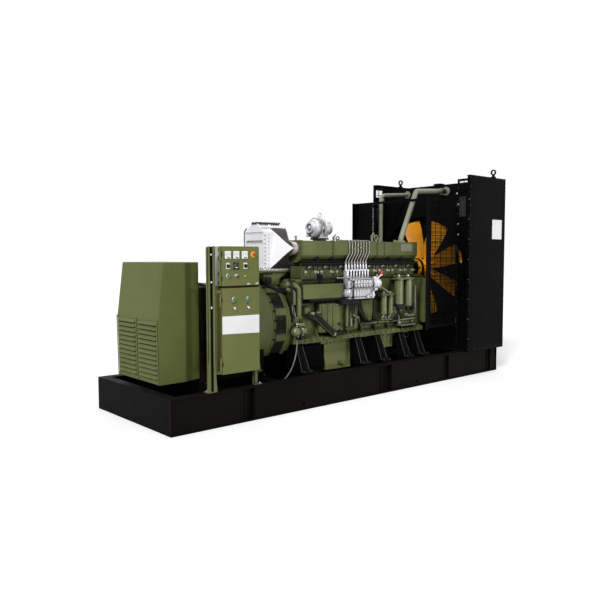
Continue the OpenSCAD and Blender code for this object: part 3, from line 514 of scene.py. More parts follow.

# base frame: bolted pads under the pedestals, light edge strips up their faces, splash plates behind the
# rails' drain holes
basePads = {"feet": (-785, 105, 445, 865, 1150), "half": 72, "bolt": 22,
    "saddles": ((-1930, -1830), (-1356, -1216)), "joints": (-2050, -1100, -400, 620, 1700),
    "drains": (-973, 821)}


def makeBase():
    pads, bolts, strips = meshes(3)
    feet, half, bolt, saddles, joints, drains = basePads.values()
    for x in feet:
        addBlocks(pads, (x - half, -600, 325, x + half, -408, 337, 2),
            (x - 46, -428, 606, x + 46, -340, 620, 2))
        addBolts(bolts, up, bolt, (x - 48, -566, 337), (x + 48, -566, 337))
        # painted highlight: light strips up both edges of the sloping face, for the glint along them
        for s in (-1, 1):
            addTube(strips, [(x + s * 54, -536, 330), (x + s * 39, -421, 617)], 2.2, 6)
        # stiffening web down the middle of the sloping face
        addSection(pads, [(-542, 336), (-532, 336), (-424, 600), (-418, 610), (-424, 612)], x - 5, 10, 1)
    for x0, x1 in saddles:
        addBlock(pads, (x0 - 14, -405, 325), (x1 + 14, -150, 337), 2)
        for x in (x0 + 12, x1 - 12):
            addBolts(bolts, up, bolt, (x, -388, 337), (x, -166, 337))
    # joint straps welded across the rail's upper flange
    addBlocks(pads, *[(x - 30, -722, 324, x + 30, -632, 329, 1.5) for x in joints])
    # side plates between the saddles, a floor plate between the rails, splash plates behind the drain holes;
    # black plates, and painted shade where the floor would show through
    addBlocks(pads, (-1960, -300, 333, -860, -288, 560), (-1250, -300, 333, -800, -288, 610),
        (-800, -300, 333, -306, -290, 566), (122, -300, 333, 640, -290, 588),
        (640, -300, 333, 1300, -290, 400), (-2380, -640, 120, 2430, 0, 126))
    addBlocks(pads, *[(x - 52, -700, 10, x + 52, -694, 112, 1) for x in drains])
    finishAll("base_black", ("basePads", pads, "frameBlack"), ("basePadBolts", bolts, "darkBolt"),
              ("pedestalEdgeGlints", strips, "dimSteel"), mirror=True)


makeBase()

# alternator cover: pressed louvre hoods over its slots, lapped panels and screws
cowl = {"front": -2430, "crease": 984, "bottom": 390, "tuck": 9, "rows": 12, "pitch": 44.5, "firstRow": 425,
        "open": 0.35, "hood": 15, "steps": 4}


def cowlFace(z):
    front, crease, bottom, tuck = list(cowl.values())[:4]
    return front + (tuck * (crease - z) / (crease - bottom) if z < crease else 64 * (z - crease) / 506)


def makeCowl():
    bm, screws, dark = meshes(3)
    front, crease, bottom, tuck, slots, pitch, firstRow, opened, hood, steps = cowl.values()
    for side, k in product((-1, 1), range(slots)):
        # painted shade: a dark strip inside the slot, where shade falls
        y0, y1, zs = side * 200 - 172, side * 200 + 172, firstRow + k * pitch
        addBlock(dark, (cowlFace(zs) + 5, y0 + 1, zs + 0.5), (cowlFace(zs) + 13, y1 - 1, zs + 15), 1)
        zb, zt = firstRow + (k + opened) * pitch - 3, firstRow + (k + 1) * pitch - 5
        points = []
        for j in range(steps + 1):
            # the hood swells out from its top edge and ends in a lip
            t = j / steps
            z, inset = zt + (zb - zt) * t, 9 * t
            back, out = cowlFace(z) + 1, cowlFace(z) - hood * sin(t * pi / 2)
            points += [(back, y0, z), (out, y0 + inset, z), (out, y1 - inset, z), (back, y1, z)]
        faces = []
        for a in range(0, 4 * steps, 4):
            faces += [(a + i, a + i + 1, a + i + 5, a + i + 4) for i in range(3)] + [(a + 3, a, a + 4, a + 7)]
        addShell(bm, points, faces + [(0, 3, 2, 1), tuple(range(4 * steps, 4 * steps + 4))])
    # centre post and border strips of the louvred panel
    for y in (-392, 0, 392):
        addPrism(bm, [(bottom + 2, -9), (crease - 6, -9), (crease - 6, 9), (bottom + 2, 9)],
                 (cowlFace(bottom) - 1.5, y, 0), (-tuck / 594, 0, 1), away, 3, 0.8)
    for z in (bottom + 8, crease - 14):
        addBlock(bm, (cowlFace(z) - 2.5, -398, z - 6), (cowlFace(z) + 4, 398, z + 8), 1)
    # side panels lap the upper shell, with a skirt along the bottom
    for s in (-1, 1):
        addBlocks(bm, (-2419, s * 399, bottom + 4, -2142, s * 401.6, crease - 22, 0.7),
                  (-2418, s * 399, bottom + 1, -2141, s * 402.6, bottom + 52, 0.9))
        addPlate(bm, [(-2420, crease - 6), (-2142, crease - 6), (-2142, 1482), (-2358, 1482)],
                 (0, -399.5 if s < 0 else 401, 0), 1.5, 0.5)
        for x, z in product((-2395, -2280, -2165), (bottom + 26, crease - 40, crease + 10, 1466)):
            if x > -2395 or z < 1400:
                addLathe(screws, screwHead, (x, s * 401.4, z), (0, s, 0), 12)
    for y, z in product((-370, -130, 130, 370), (1010, 1462)):
        addLathe(screws, screwHead, (cowlFace(z), y, z), (-1, 0, 0.12), 12)
    # top lid with a turned edge
    addPrism(bm, [(-2362, -396), (-2142, -396), (-1974, -347), (-1974, 347), (-2142, 396), (-2362, 396)],
             (0, 0, 1487), ahead, away, 5, 1.5)
    finishAll("cover_green", ("cowlShade", dark, "beltRubber"), ("cowlLouvres", bm, "coverGreen"),
              ("cowlScrews", screws, "coverGreen"))


makeCowl()

# alternator: black stator with clamping bars, green shell with bands, joint bolts and lifting lugs
alternator = {"z": 840, "stator": 405, "bars": 20, "shell": 440, "joint": -1126, "jointBolts": 28}


def onShell(angle, radius, x=0.0):
    return Vector((x, -radius * sin(radians(angle)), alternator["z"] + radius * cos(radians(angle))))


def makeAlternator():
    dark, bolts, shell = meshes(3)
    axis, stator, bars, outer, joint, jointBolts = alternator.values()
    for k in range(bars):
        angle = 360 * (k + 0.5) / bars
        if not 150 < angle < 210:
            side = (0, cos(radians(angle)), sin(radians(angle)))
            addPrism(dark, [(-1966, -9), (-1754, -9), (-1754, 9), (-1966, 9)], onShell(angle, stator - 4),
                     ahead, side, 14, 2)
    ribs = [(0, stator - 2), (0, stator + 7), (12, stator + 7), (12, stator - 2)]
    addAll(addBand, dark, *[(ribs, (x, 0, axis), ahead, 64) for x in (-1968, -1868, -1764)])
    # painted shade and the joint's own dark: a dark band in the joint behind the shell's flange
    addBand(dark, [(0, 436), (0, 446.5), (9, 446.5), (9, 436)], (-1116, 0, axis), ahead, 96)
    for k in range(jointBolts):
        angle = 360 * (k + 0.5) / jointBolts
        addBolt(bolts, onShell(angle, 449, joint + 4), aft, 15)
        addRod(dark, onShell(angle, 449, joint + 2), onShell(angle, 449, -1098), 7, 8)
    for x, w, proud in ((-1748, 22, 4), (-1450, 12, 2.5), (-1142, 16, 4)):
        r = outer + proud
        addBand(shell, [(0, 436), (0, r - 1), (1, r), (w - 1, r), (w, r - 1), (w, 436)], (x, 0, axis),
            ahead, 96)
    # lifting lug on top, a drilled plate
    addPrism(shell, [(-46, -8), (46, -8), (40, 26), (22, 56), (-22, 56), (-40, 26)], (-1188, 0, 1276), away,
        up, 16, 2)
    addLathe(dark, [(0, 16), (18.5, 16)], (-1189.2, 0, 1306), ahead, 20)
    # square end frame between cover and stator
    addPrism(dark, roundedOutline(744, 924, 22), (-1969, 0, 795), away, up, 86, 5)
    # cover plate for the terminals on the far side
    addBlock(shell, (-1720, 384, 990), (-1290, 432, 1150), 6)
    addBolts(bolts, away, 12, *[(x, 432, z) for x in (-1700, -1610, -1400, -1310) for z in (1008, 1132)])
    finishPiece("statorBars", dark, "baseBlack", slot="base_black")
    finishAll("engine_green", ("jointBolts", bolts, "darkBolt"), ("shellBands", shell, "engineGreen"))


makeAlternator()

# adapter windows: wire screens over a dark inside
screens = {"count": 10, "arc": 13.0, "rear": -1095, "front": -963, "radius": 428, "wire": 1.3, "pitch": 9.0}


def addLiner(bm, angles, radius, x0, x1):
    # painted shade: a dark strip round the shaft, a little above the floor of a window or slot, for the shade
    # inside it
    edges = [[onShell(a, radius, x) for a in angles] for x in (x0, x1)]
    addShell(bm, edges[0] + edges[1], [(j, j + 1, j + 12, j + 11) for j in range(10)])


def makeScreens():
    dark, wires, rims = meshes(3)
    count, arc, rear, front, radius, wire, pitch = screens.values()
    for k in range(count):
        middle = 360 * (k + 0.5) / count
        angles = [middle - arc + 2 * arc * j / 10 for j in range(11)]
        addLiner(dark, angles, 407, rear, front)
        hoops = int((front - rear) / pitch)
        for j in range(hoops + 1):
            x = rear + (front - rear) * j / hoops
            addTube(wires, [onShell(a, radius, x) for a in angles], wire, 4)
        turns = int(2 * radians(arc) * radius / pitch)
        for j in range(turns + 1):
            place = middle - arc + 2 * arc * j / turns, radius + 2 * wire * (j % 2 - 0.5)
            addTube(wires, [onShell(*place, rear), onShell(*place, front)], wire, 4)
        loop = [onShell(a, radius + 4, rear - 1) for a in angles]
        addTube(rims, loop + [onShell(a, radius + 4, front + 1) for a in reversed(angles)], 4, 6, closed=True)
    finishAll("engine_green", ("screenShade", dark, "beltRubber"), ("windowScreens", wires, "screenWire"),
              ("screenRims", rims, "engineGreen"))


makeScreens()

# flywheel housing: bolts of both joints, the timing slot and two thin lines beside it
housing = {"bolts": 24, "radius": 430, "slotFrom": 52, "slotTo": 88}


def makeHousing():
    bolts, dark, lines = meshes(3)
    count, radius, slotFrom, slotTo = housing.values()
    for k in range(count):
        angle = 360 * (k + 0.5) / count
        addBolt(bolts, onShell(angle, radius, -914), ahead, 16)
        addRod(bolts, onShell(angle, 437, -946), onShell(angle, 437, -939), 8, 8)
    addLiner(dark, [slotFrom + (slotTo - slotFrom) * j / 10 for j in range(11)], 421, -910, -862)
    addAll(addPipe, lines, ([(-905, -452, 1040), (-900, -456, 960), (-822, -452, 880), (-800, -440, 850)],
        30, 3.4, 8), ([(-880, -446, 1020), (-862, -456, 930), (-830, -440, 760)], 30, 3.4, 8))
    finishAll("engine_green", ("housingBolts", bolts, "engineGreen"), ("housingSlot", dark, "beltRubber"),
              ("housingLines", lines, "pipeGrey"))


makeHousing()
print("base and alternator detailed")

# cylinder heads: face covers, rocker covers, bright studs, a leak-off rail and the dark gasket joint
bores = [-630 + 231 * k for k in range(8)]
heads = {"face": -420, "coverHalf": 92, "coverZ": 1360, "stud": 19, "railZ": 1424}


def makeHeads():
    cast, studs, dark, rail = meshes(4)
    y, coverHalf, coverZ, stud, railZ = heads.values()
    for x in bores:
        # exhaust side cover with rounded corners
        addPlate(cast, roundedOutline(2 * coverHalf, 80, 16), (x, y, coverZ), 9, 2.5)
        addLathe(cast, [(0, 26), (12, 26), (15, 23), (15, 14), (11, 14), (11, 0)], (x + 14, y - 8, 1350),
            near, 20)
        # rocker cover stands outside the manifold's branches
        addBlocks(cast, (x - 98, -424, 1438, x + 98, -366, 1474, 10),
            (x - 100, -427, 1432, x + 100, -362, 1444, 2))
        for dx in (-70, 70):
            addBolt(studs, (x + dx, y - 8, 1376), near, stud)
            addAll(addBolt, cast, ((x + dx, -402, 1474), up, 14), ((x + dx, y - 8, 1330), near, 12))
        addBolt(studs, (x + 115.5, y + 2, 1372), near, 16)
        # injector sleeve and its union
        addRod(studs, (x - 34, -424, 1418), (x - 34, -452, 1428), 9, 12)
        addRod(cast, (x - 34, -418, 1412), (x - 34, -434, 1418), 15, 12)
        addPipe(rail, [(x - 34, -449, 1427), (x - 20, -452, 1440), (x + 10, -440, railZ),
            (x + 30, -434, railZ)], 12, 3.2, 8, 3)
    # cable harness along the heads, clipped at every cylinder; its black also serves as painted shade under
    # the manifold
    addAll(addTube, dark, ([(-742, -430, 1455), (1108, -430, 1455)], 15, 10),
           ([(-742, -424, 1484), (1108, -424, 1484)], 9, 8))
    for x in bores:
        addBlock(dark, (x - 40, -447, 1436), (x - 26, -420, 1474), 2)
        addPipe(dark, [(x + 40, -432, 1450), (x + 44, -438, 1420), (x + 40, -426, 1396)], 12, 6, 8, 3)
    # gasket joint under the heads
    addBlock(dark, (-756, -430, 1281), (1290, -416, 1300), 2)
    finishAll("engine_green", ("headCovers", cast, "headGreenShaded"), ("headStuds", studs, "zincBolt"),
              ("headGaskets", dark, "beltRubber"), ("leakOffRail", rail, "pipeGrey"), mirror=True)


makeHeads()

# intake manifolds: joint flanges, plugs on the chamfer between the cylinders, eyes and studs on top
intake = {"flanges": (-742, -290, -278, 428, 556, 1141), "y": -325, "top": 1708,
    "studs": ((-742, 11, 1762), (443, 15, 1785), (575, 13, 1752), (602, 9, 1740), (846, 11, 1740),
    (-120, 10, 1738)), "endBolts": ((-410, 1695), (-325, 1698), (-240, 1695), (-414, 1620), (-236, 1610),
    (-410, 1566), (-370, 1500), (-240, 1500))}


def makeIntake():
    bands, bolts, plugs, bright = meshes(4)
    flanges, y, top, studs, endBolts = intake.values()
    for x in flanges:
        addSection(bands, [(-430, 1555), (-430, 1714), (-220, 1714), (-220, 1478), (-358, 1478),
            (-367, 1478)], x - 4, 8, 1.2)
        addBolts(bolts, near, 10, *[(x - 10, -434, z) for z in (1576, 1632, 1690)])
        addBolts(bolts, up, 10, *[(x - 10, place, 1709) for place in (-400, -325, -250)])
    for x in bores[:7]:
        at, out = Vector((x + 115.5, -395, 1520)), Vector((0, -0.777, -0.63))
        addLathe(plugs, [(0, 30), (7, 30), (10, 26), (16, 24), (20, 20), (20, 0)], at, out, 20)
        addBolt(plugs, at + out * 20, out, 20, washer=False)
        addLathe(bands, [(0, 36), (3, 36), (3, 22)], at, out, 24)
    for x in bores:
        # clamps that hold each branch to its head
        addBlocks(bands, (x - 72, -372, 1438, x + 72, -228, 1452, 3),
            (x - 70, -370, 1470, x + 70, -230, 1484, 3))
        addBolts(bolts, (0, -0.5, 0.86), 11, (x - 58, -366, 1453), (x + 58, -366, 1453))
    # end plates, their bolts round the edge
    for x, at, s in ((-755, -755, -1), (1147, 1155, 1)):
        addSection(bands, [(-428, 1556), (-428, 1712), (-222, 1712), (-222, 1480), (-366, 1480)], x, 8, 1.5)
        addBolts(bolts, (s, 0, 0), 12, *[(at, *place) for place in endBolts])
    # lifting eye and small fittings along the top
    addLathe(bright, [(0, 22), (6, 22), (9, 17), (26, 12), (30, 12)], (513, y, top), up, 16)
    addTube(bright, [(513 + 27 * cos(a), y, 1762 + 27 * sin(a)) for a in around(20)], 8, 8, closed=True)
    for x, r, z in studs:
        addLathe(bright, [(0, r * 1.5), (8, r * 1.5), (10, r), (z - 1722, r), (z - 1718, r * 1.3),
            (z - 1710, r * 1.3), (z - 1708, r * 0.8), (z - 1708, 0)], (x, y, top), up, 14)
    addRod(bright, (443, y, 1786), (478, y, 1812), 9, 12)
    # blank plate at the front end
    addPlate(bright, roundedOutline(215, 92, 10), (958, -425, 1645), 2.5, 0.8)
    finishAll("engine_green", ("manifoldBands", bands, "engineGreen"),
        ("manifoldBolts", bolts, "engineGreen"), ("manifoldPlugs", plugs, "beltRubber"),
        ("manifoldFittings", bright, "pipeGrey"), mirror=True)


makeIntake()

# crankcase: inspection doors, foot gussets, a long pipe above the foot rail, clamps on the flank
block = {"doorWide": 184, "doorTall": 298, "doorZ": 891, "gussets": range(-740, 1260, 232)}


def makeBlock():
    cast, bolts, pipe, dark = meshes(4)
    wide, tall, middle, gussets = block.values()
    for x in bores:
        addAll(addPlate, cast, (roundedOutline(wide, tall, 34, 6), (x, -349, middle), 13, 3),
               (roundedOutline(wide - 56, tall - 56, 20, 4), (x, -360, middle), 9, 3))
        addBolts(bolts, near, 14, *[(x + dx, -361, z) for dx in (-78, 78) for z in (757, 850, 935, 1025)])
        # rib between two cylinders, up the sloping flank
        addSection(cast, [(-346, 1052), (-356, 1052), (-398, 1196), (-428, 1272), (-420, 1290),
            (-380, 1290), (-346, 1080)], x + 108, 15, 2)
    for x in gussets:
        addSection(cast, [(-346, 790), (-346, 690), (-418, 658), (-422, 668), (-360, 774)], x, 13, 2)
        addBolt(bolts, (x + 64, -402, 664), (0, -0.35, 0.94), 18)
    # joint line and bolts of the foot rail
    addBlock(cast, (-826, -424, 619), (1286, -412, 634), 2)
    addBolts(bolts, near, 13, *[(x, -422, 645) for x in range(-790, 1280, 92)])
    finishAll("engine_green", ("crankcaseDoors", cast, "engineGreen"),
        ("crankcaseBolts", bolts, "engineGreen"), mirror=True)
    # near side only: clamps, water pipe along the foot
    for x, z0, z1 in ((-490, 1250, 1346), (-224, 1236, 1306)):
        addBlocks(dark, (x - 17, -442, z0, x + 17, -420, z1, 4), (x - 24, -452, z1 - 38, x + 24, -424, z1, 5))
        addBolt(dark, (x, -452, z1 - 18), near, 18)
    addPipe(pipe, [(96, -380, 800), (130, -436, 772), (160, -436, 772), (860, -436, 764), (900, -400, 760)],
        24, 13, 12)
    addBlocks(dark, *[(x - 9, -452, 752, x + 9, -395, 788, 3) for x in (190, 420, 640, 830)])
    finishAll("engine_green", ("flankClamps", dark, "beltRubber"), ("footPipe", pipe, "filterGreen"))


makeBlock()

# oil pan: flange bolts, sump ribs and drain plug; gear case: rim bolts and covers
sump = {"flangeBolts": range(-690, 1240, 104), "drain": (-70, -300, 330)}
gearCase = {"face": 1350, "pump": (-250, 980), "idler": (-235, 1165),
    "rim": ((-405, 730), (-405, 850), (-405, 970), (-405, 1090), (-402, 1200), (-350, 1268), (-250, 1272),
    (-300, 722), (-180, 722), (-60, 722))}


def makeSump():
    cast, bolts = meshes(2)
    addBolts(bolts, down, 14, *[(x, -318, 596) for x in sump["flangeBolts"]])
    addBlocks(cast, (-300, -309, 556, 112, -296, 574, 3), (-262, -307, 266, 110, -296, 284, 3),
              *[(x, -309, 440, x + 12, -296, 590, 2) for x in (660, 740, 820)])
    addLathe(bolts, [(0, 30), (6, 30), (8, 24), (18, 24), (20, 20), (20, 0)], sump["drain"], near, 24)
    addBolt(bolts, (-70, -318, 330), near, 26, washer=False)
    addBolts(bolts, near, 11, *[(x, -308, 565) for x in range(-280, 130, 62)])
    finishAll("engine_green", ("sumpRibs", cast, "sumpGreenLit"), ("sumpBolts", bolts, "engineGreen"),
        mirror=True)


def makeGearCase():
    cast, bolts, seal = meshes(3)
    face, pumpAt, idlerAt, rim = gearCase.values()
    addBolts(bolts, ahead, 18, *[(face, *place) for place in rim])
    # water pump and idler housings on the front
    addAll(addLathe, cast, ([(0, 96), (14, 96), (18, 84), (40, 78), (52, 60), (58, 30), (58, 0)],
        (1348, *pumpAt), ahead, 40), ([(0, 70), (10, 70), (14, 60), (34, 56), (40, 40), (40, 0)],
        (1348, *idlerAt), ahead, 32))
    addAll(boltRing, bolts, ((1362, *pumpAt), ahead, 90, 8, 12), ((1358, *idlerAt), ahead, 65, 6, 11))
    finishAll("engine_green", ("gearCovers", cast, "engineGreen"), ("gearCaseBolts", bolts, "engineGreen"),
        mirror=True)
    # shaft seal round the crankshaft's nose
    addLathe(seal, [(0, 130), (10, 130), (14, 120), (14, 60), (8, 56), (0, 56)], (face, 0, 840), ahead, 48)
    boltRing(seal, (1362, 0, 840), ahead, 104, 8, 12)
    finishPiece("crankSeal", seal, "engineGreen", slot="engine_green")


makeSump()
makeGearCase()
print("engine block detailed")

# injection pumps: camshaft housing, barrels, delivery unions, governor, feed pump and control lever
pump = {"rear": -150, "front": 250, "lineY": -462, "lines": [-130 + 46 * k for k in range(8)],
        "governor": (250, -492, 1231), "shift": 85}


def makePumps():
    cast, bright, dark, cap, link = meshes(5)
    rear, front, lineY, lines, (gx, gy, gz), shift = pump.values()
    addBlocks(cast, (rear, -538, 1066, front, -436, 1086, 4),
        (rear + 4, -545, 1084, front - 4, -436, 1186, 16), (rear + 2, -528, 1180, front - 2, -434, 1291, 7),
        (rear + 4, -488, 1288, front - 48, -434, 1391, 6), (rear, -510, 1282, front - 40, -436, 1298, 4))
    for x in lines:
        # barrel, its flange and the delivery union
        addAll(addLathe, cast,
            ([(0, 21), (4, 21), (6, 17), (74, 17), (76, 21), (88, 21), (94, 18), (94, 0)], (x, -487, 1298),
            up, 18),
            ([(0, 17), (10, 17), (12, 12.5), (30, 12.5), (34, 14.5), (46, 14.5), (48, 11), (66, 9.5),
            (66, 0)], (x, lineY, 1390), up, 14))
        addBolt(bright, (x, lineY, 1456), up, 23, washer=False)
        addBlocks(cast, (x - 6, -552, 1094, x + 6, -540, 1176, 3),
            (x - 17, -537, 1192, x + 17, -524, 1276, 4))
        addBolts(bright, near, 12, (x + 23, -538, 1204), (x + 23, -530, 1268))
        addBolt(bright, (x + 23, -505, 1300), up, 12)
        # painted shade: dark blocks in the hollows between the barrels and under the unions
        addBlock(dark, (x + 18, -506, 1297), (x + 28, -470, 1384), 1)
        addLathe(dark, [(0, 8), (1.5, 8), (1.5, 0)], (x + 1, -537, 1234), near, 14)
    # painted shade: dark strips along the housing's seams
    addBlocks(dark, (-140, -537, 1187, 240, -528, 1192, 1), (-140, -530, 1277, 240, -520, 1284, 1))
    addBolts(bright, up, 12, *[(x, -532, 1086) for x in range(-130, 250, 60)])
    # end cover and governor
    addLathe(cast, [(0, 48), (10, 48), (14, 40), (22, 38), (24, 20), (30, 18), (30, 0)], (rear, -490, 1135),
        aft, 28)
    boltRing(bright, (-160, -490, 1135), aft, 42, 6, 10)
    addLathe(cast, [(0, 62), (10, 62), (14, 57), (40, 57), (46, 52), (70, 52), (74, 57), (118, 57),
        (130, 48), (135, 30), (135, 0)], (gx, gy, gz), ahead, 36)
    boltRing(bright, (gx + 14, gy, gz), ahead, 54, 8, 10)
    addBlocks(cast, (gx + 20, gy - 40, gz + 30, gx + 96, gy + 30, gz + 78, 10),
              (gx + 30, gy - 30, gz - 84, gx + 90, gy + 30, gz - 40, 10))
    addRod(bright, (gx + 60, gy - 34, gz + 76), (gx + 60, gy - 34, gz + 104), 9, 12)
    # feed pump low on the housing, with its hand knob
    addLathe(cast, [(0, 26), (14, 26), (18, 20), (30, 20), (34, 15), (34, 0)], (212, -543, 1106), near, 24)
    addRod(cast, (212, -560, 1080), (212, -560, 1146), 15, 16)
    addRod(bright, (212, -560, 1146), (212, -560, 1162), 19, 16)
    addAll(addRod, cast, ((128, -548, 1090), (128, -566, 1090), 17, 16),
        ((168, -548, 1100), (168, -560, 1100), 13, 16))
    # control lever and its rod at the left, drain pipes across the face
    addTube(bright, [(-158, -540, 1306), (-240, -545, 1308), (-340, -545, 1309)], 7.5, 10)
    addLathe(bright, [(0, 0), (2, 9), (10, 13), (18, 9), (20, 0)], (-330, -545, 1309), aft, 14)
    addRod(bright, (-158, -545, 1296), (-158, -530, 1316), 14, 14)
    addBlock(bright, (-166, -548, 1288), (-140, -520, 1322), 5)
    addAll(addPipe, bright, ([(-140, -552, 1160), (-120, -562, 1186), (228, -562, 1186), (240, -548, 1160)],
        12, 5, 8, 3), ([(-145, -512, 1306), (-120, -520, 1316), (205, -520, 1316), (236, -500, 1240)], 12,
        4, 8, 3))
    # black stop rod in front, red sealing cap on the governor
    addRod(dark, (-110, -562, 1259), (-110, -562, 1000), 7, 12)
    addLathe(dark, [(0, 0), (3, 10), (11, 13), (19, 10), (22, 0)], (-110, -562, 1252), up, 14)
    addBlock(dark, (-122, -572, 1080), (-98, -545, 1100), 3)
    addLathe(cap, [(0, 17), (4, 19), (34, 17), (42, 10), (44, 0)], (427, -494, 1332), (0.1, 0, 1), 20)
    addTube(link, [(340, -500, 1296), (368, -506, 1302), (420, -500, 1330)], 8, 10)
    addBlock(link, (330, -514, 1284), (352, -484, 1310), 4)
    addRod(link, (427, -494, 1316), (427, -494, 1334), 12, 12)
    finishAll("bright", ("injectionPumps", cast, "pumpSilver", "injection_pumps"),
        ("pumpUnions", bright, "lineSteel"), ("stopRodsAndShade", dark, "hoseRubber"),
        ("governorCaps", cap, "knobRed"), ("governorLinks", link, "pumpSilver"), mirror=True)


def makeLines():
    bm, nuts = meshes(2)
    for low in pump["lines"]:
        x = low + pump["shift"]
        addPipe(bm, [(low, -462, 1462), (low, -462, 1490), (x, -436, 1577), (x, -436, 1720), (x, -211, 1720),
                     (x, -211, 1360), (x, -228, 1360)], 22, 5.2, 10)
        addAll(addRod, nuts, ((low, -462, 1466), (low, -462, 1484), 11, 6),
            ((x, -211, 1382), (x, -211, 1366), 10, 6))
    finishAll("line_steel", ("injectionLines", bm, "lineSteel", "injection_lines"),
        ("lineNuts", nuts, "lineSteel"), mirror=True)


def makeTrays():
    bm, = meshes(1)
    addAll(addPrism, bm,
        ([(22, -352), (-228, -352), (-228, -480), (-222, -512), (-202, -534), (-172, -545), (6, -545),
        (22, -528)], (0, 0, 1008), ahead, away, 57, 9),
        ([(26, -500), (-200, -500), (-214, -520), (-190, -548), (26, -548)], (0, 0, 1050), ahead, away, 14,
        3))
    finishPiece("pumpTrays", bm, "hoseRubber", slot="frame_black", mirror=True, replaces=("pump_trays",))


makePumps()
makeLines()
makeTrays()

# fuel and oil filters on their heads, with the fittings under them
filters = {"tall": (735, 900), "tallY": -495, "tallR": 55, "short": (527, 643), "shortY": -440,
    "shortR": 39.5}


def makeFilters():
    cans, cast, bits, dark = meshes(4)
    tall, y, r, short, shortY, shortR = filters.values()
    for x in tall:
        addLathe(cans, [(0, r - 26), (3, r - 12), (12, r - 3), (20, r), (24, r), (26, r - 2), (36, r - 2),
            (38, r), (300, r), (303, r + 2), (312, r + 2), (314, r - 3), (328, r - 3), (328, 0)],
            (x, y, 934), up, 48)
        addLathe(cast, [(0, r + 6), (14, r + 6), (18, r - 4), (30, r - 6), (34, 24), (44, 22), (44, 0)],
            (x, y, 1258), up, 40)
        addBolt(bits, (x, y, 1302), up, 26)
        # drain cock and union below the bowl
        addLathe(bits, [(0, 20), (5, 20), (8, 12), (22, 12), (24, 17), (36, 17), (38, 8), (52, 8), (52, 0)],
                 (x, y, 936), down, 18)
        addTube(bits, [(x, y, 902), (x + 24, y - 6, 896), (x + 34, y - 6, 890)], 5, 8)
    # black strap round the first bowl and dark brackets
    addBand(dark, [(0, 56), (0, 60), (26, 60), (26, 56)], (735, -495, 944), up, 40)
    addBlocks(dark, (672, -560, 908, 716, -500, 946, 8), (940, -540, 890, 985, -470, 985, 10))
    addRod(dark, (900, -495, 884), (900, -495, 938), 30, 20)
    addBlocks(cast, (660, -548, 1262, 980, -352, 1284, 8), (690, -470, 1284, 950, -372, 1312, 10))
    for x in short:
        r = shortR
        addLathe(cans, [(0, r - 18), (3, r - 8), (10, r - 2), (16, r), (200, r), (203, r + 2), (210, r + 2),
            (213, r - 2), (222, r - 2), (222, 0)], (x, shortY, 850), up, 40)
        addBolt(bits, (x, shortY, 1110), up, 20)
        addRod(bits, (x, shortY, 826), (x, shortY, 852), 9, 10)
    addBlock(cast, (462, -483, 1070), (690, -352, 1110), 12)
    addRod(cast, (585, -470, 1090), (585, -500, 1090), 20, 18)
    finishAll("engine_green", ("filterCanisters", cans, "filterGreen", "filter_canisters"),
        ("filterHeads", cast, "engineGreen"), ("filterFittings", bits, "zincBolt"),
        ("filterStraps", dark, "hoseRubber"))


makeFilters()

# starter: round nose with its joint band, solenoid and terminals; the cable's boot and lug
starter = {"nose": (-880, -482, 758), "ball": 53}


def makeStarter():
    cast, bits, dark, boot = meshes(4)
    (x, y, z), r = starter.values()
    nose = [(r - r * cos(radians(a)), r * sin(radians(a))) for a in range(0, 150, 9)]
    addLathe(cast, nose + [(96, 33), (98, 40), (106, 40), (108, 34), (176, 34), (176, 0)], (x - r, y, z),
        ahead, 40)
    addBand(cast, [(0, r - 1), (0, r + 2), (8, r + 2), (8, r - 1)], (x - 4, y, z), ahead, 40)
    addBlock(cast, (-810, -482, 718), (-720, -352, 798), 10)
    # end shield, solenoid above the shank
    addAll(addLathe, cast, ([(0, 50), (12, 50), (14, 44), (20, 44), (20, 0)], (-812, y, z), aft, 32),
           ([(0, 24), (4, 27), (80, 27), (84, 24), (84, 0)], (-832, -452, 822), ahead, 28))
    addBlock(cast, (-800, -470, 790), (-760, -430, 826), 6)
    addBolts(bits, aft, 15, *[(-812, y + dy, z + dz) for dy in (-34, 30) for dz in (30, -30)])
    addAll(addBolt, bits, ((-832, -452, 834), aft, 14), ((-832, -452, 812), aft, 12))
    addRod(bits, (-834, -452, 834), (-848, -452, 834), 4, 8)
    # terminal block that the cable hangs from
    addBlock(dark, (-874, -494, 702), (-850, -470, 724), 4)
    addBolt(bits, (-862, -494, 712), near, 12)
    finishAll("engine_green", ("starterMotor", cast, "filterGreen", "starter_motor"),
        ("starterBolts", bits, "zincBolt"), ("starterTerminal", dark, "hoseRubber"))
    addAll(addLathe, boot, ([(0, 11.5), (4, 12), (14, 10.5), (30, 7.6), (31, 6.1)], (-862, -482, 704), down,
        20), ([(0, 7), (3, 10), (16, 9), (24, 7), (25, 6.1)], (-1230.6, -570, 270), ahead, 20))
    return finishPiece("cableBoots", boot, "hoseRubber", slot="cable_sheath")


def makeCable():
    # a round sheath along the hanging route, with its length measured on the way
    bm, = meshes(1)
    route = cableRoute()
    addTube(bm, [p / scale for p in route], starterCable["radius"] / scale, 20)
    sheath = finishPiece("starterCableSheath", bm, "cableSheath", slot="cable_sheath",
        replaces=("starter_cable",))
    return sheath, sum((q - p).length for p, q in zip(route, route[1:]))


cableBoots = makeStarter()
cableSheath, cableLength = makeCable()
print("starter cable", round(cableLength, 3), "m end to end")

# cabinet side of the engine: breather elbows, ribbed cooler cover, black duct, hoses and pipes
sideParts = {"elbow": [(-806, -436, 912), (-806, -436, 1236), (-900, -352, 1246)],
    "smallElbow": [(-872, -442, 1040), (-872, -442, 1176), (-930, -392, 1206)],
    "duct": [(-606, -452, 925), (-560, -456, 890), (-330, -456, 712), (-276, -430, 672)],
    "taper": [(118, 1056), (302, 1050), (300, 920), (288, 830), (268, 800), (236, 800), (212, 822),
    (146, 930), (120, 1000)]}


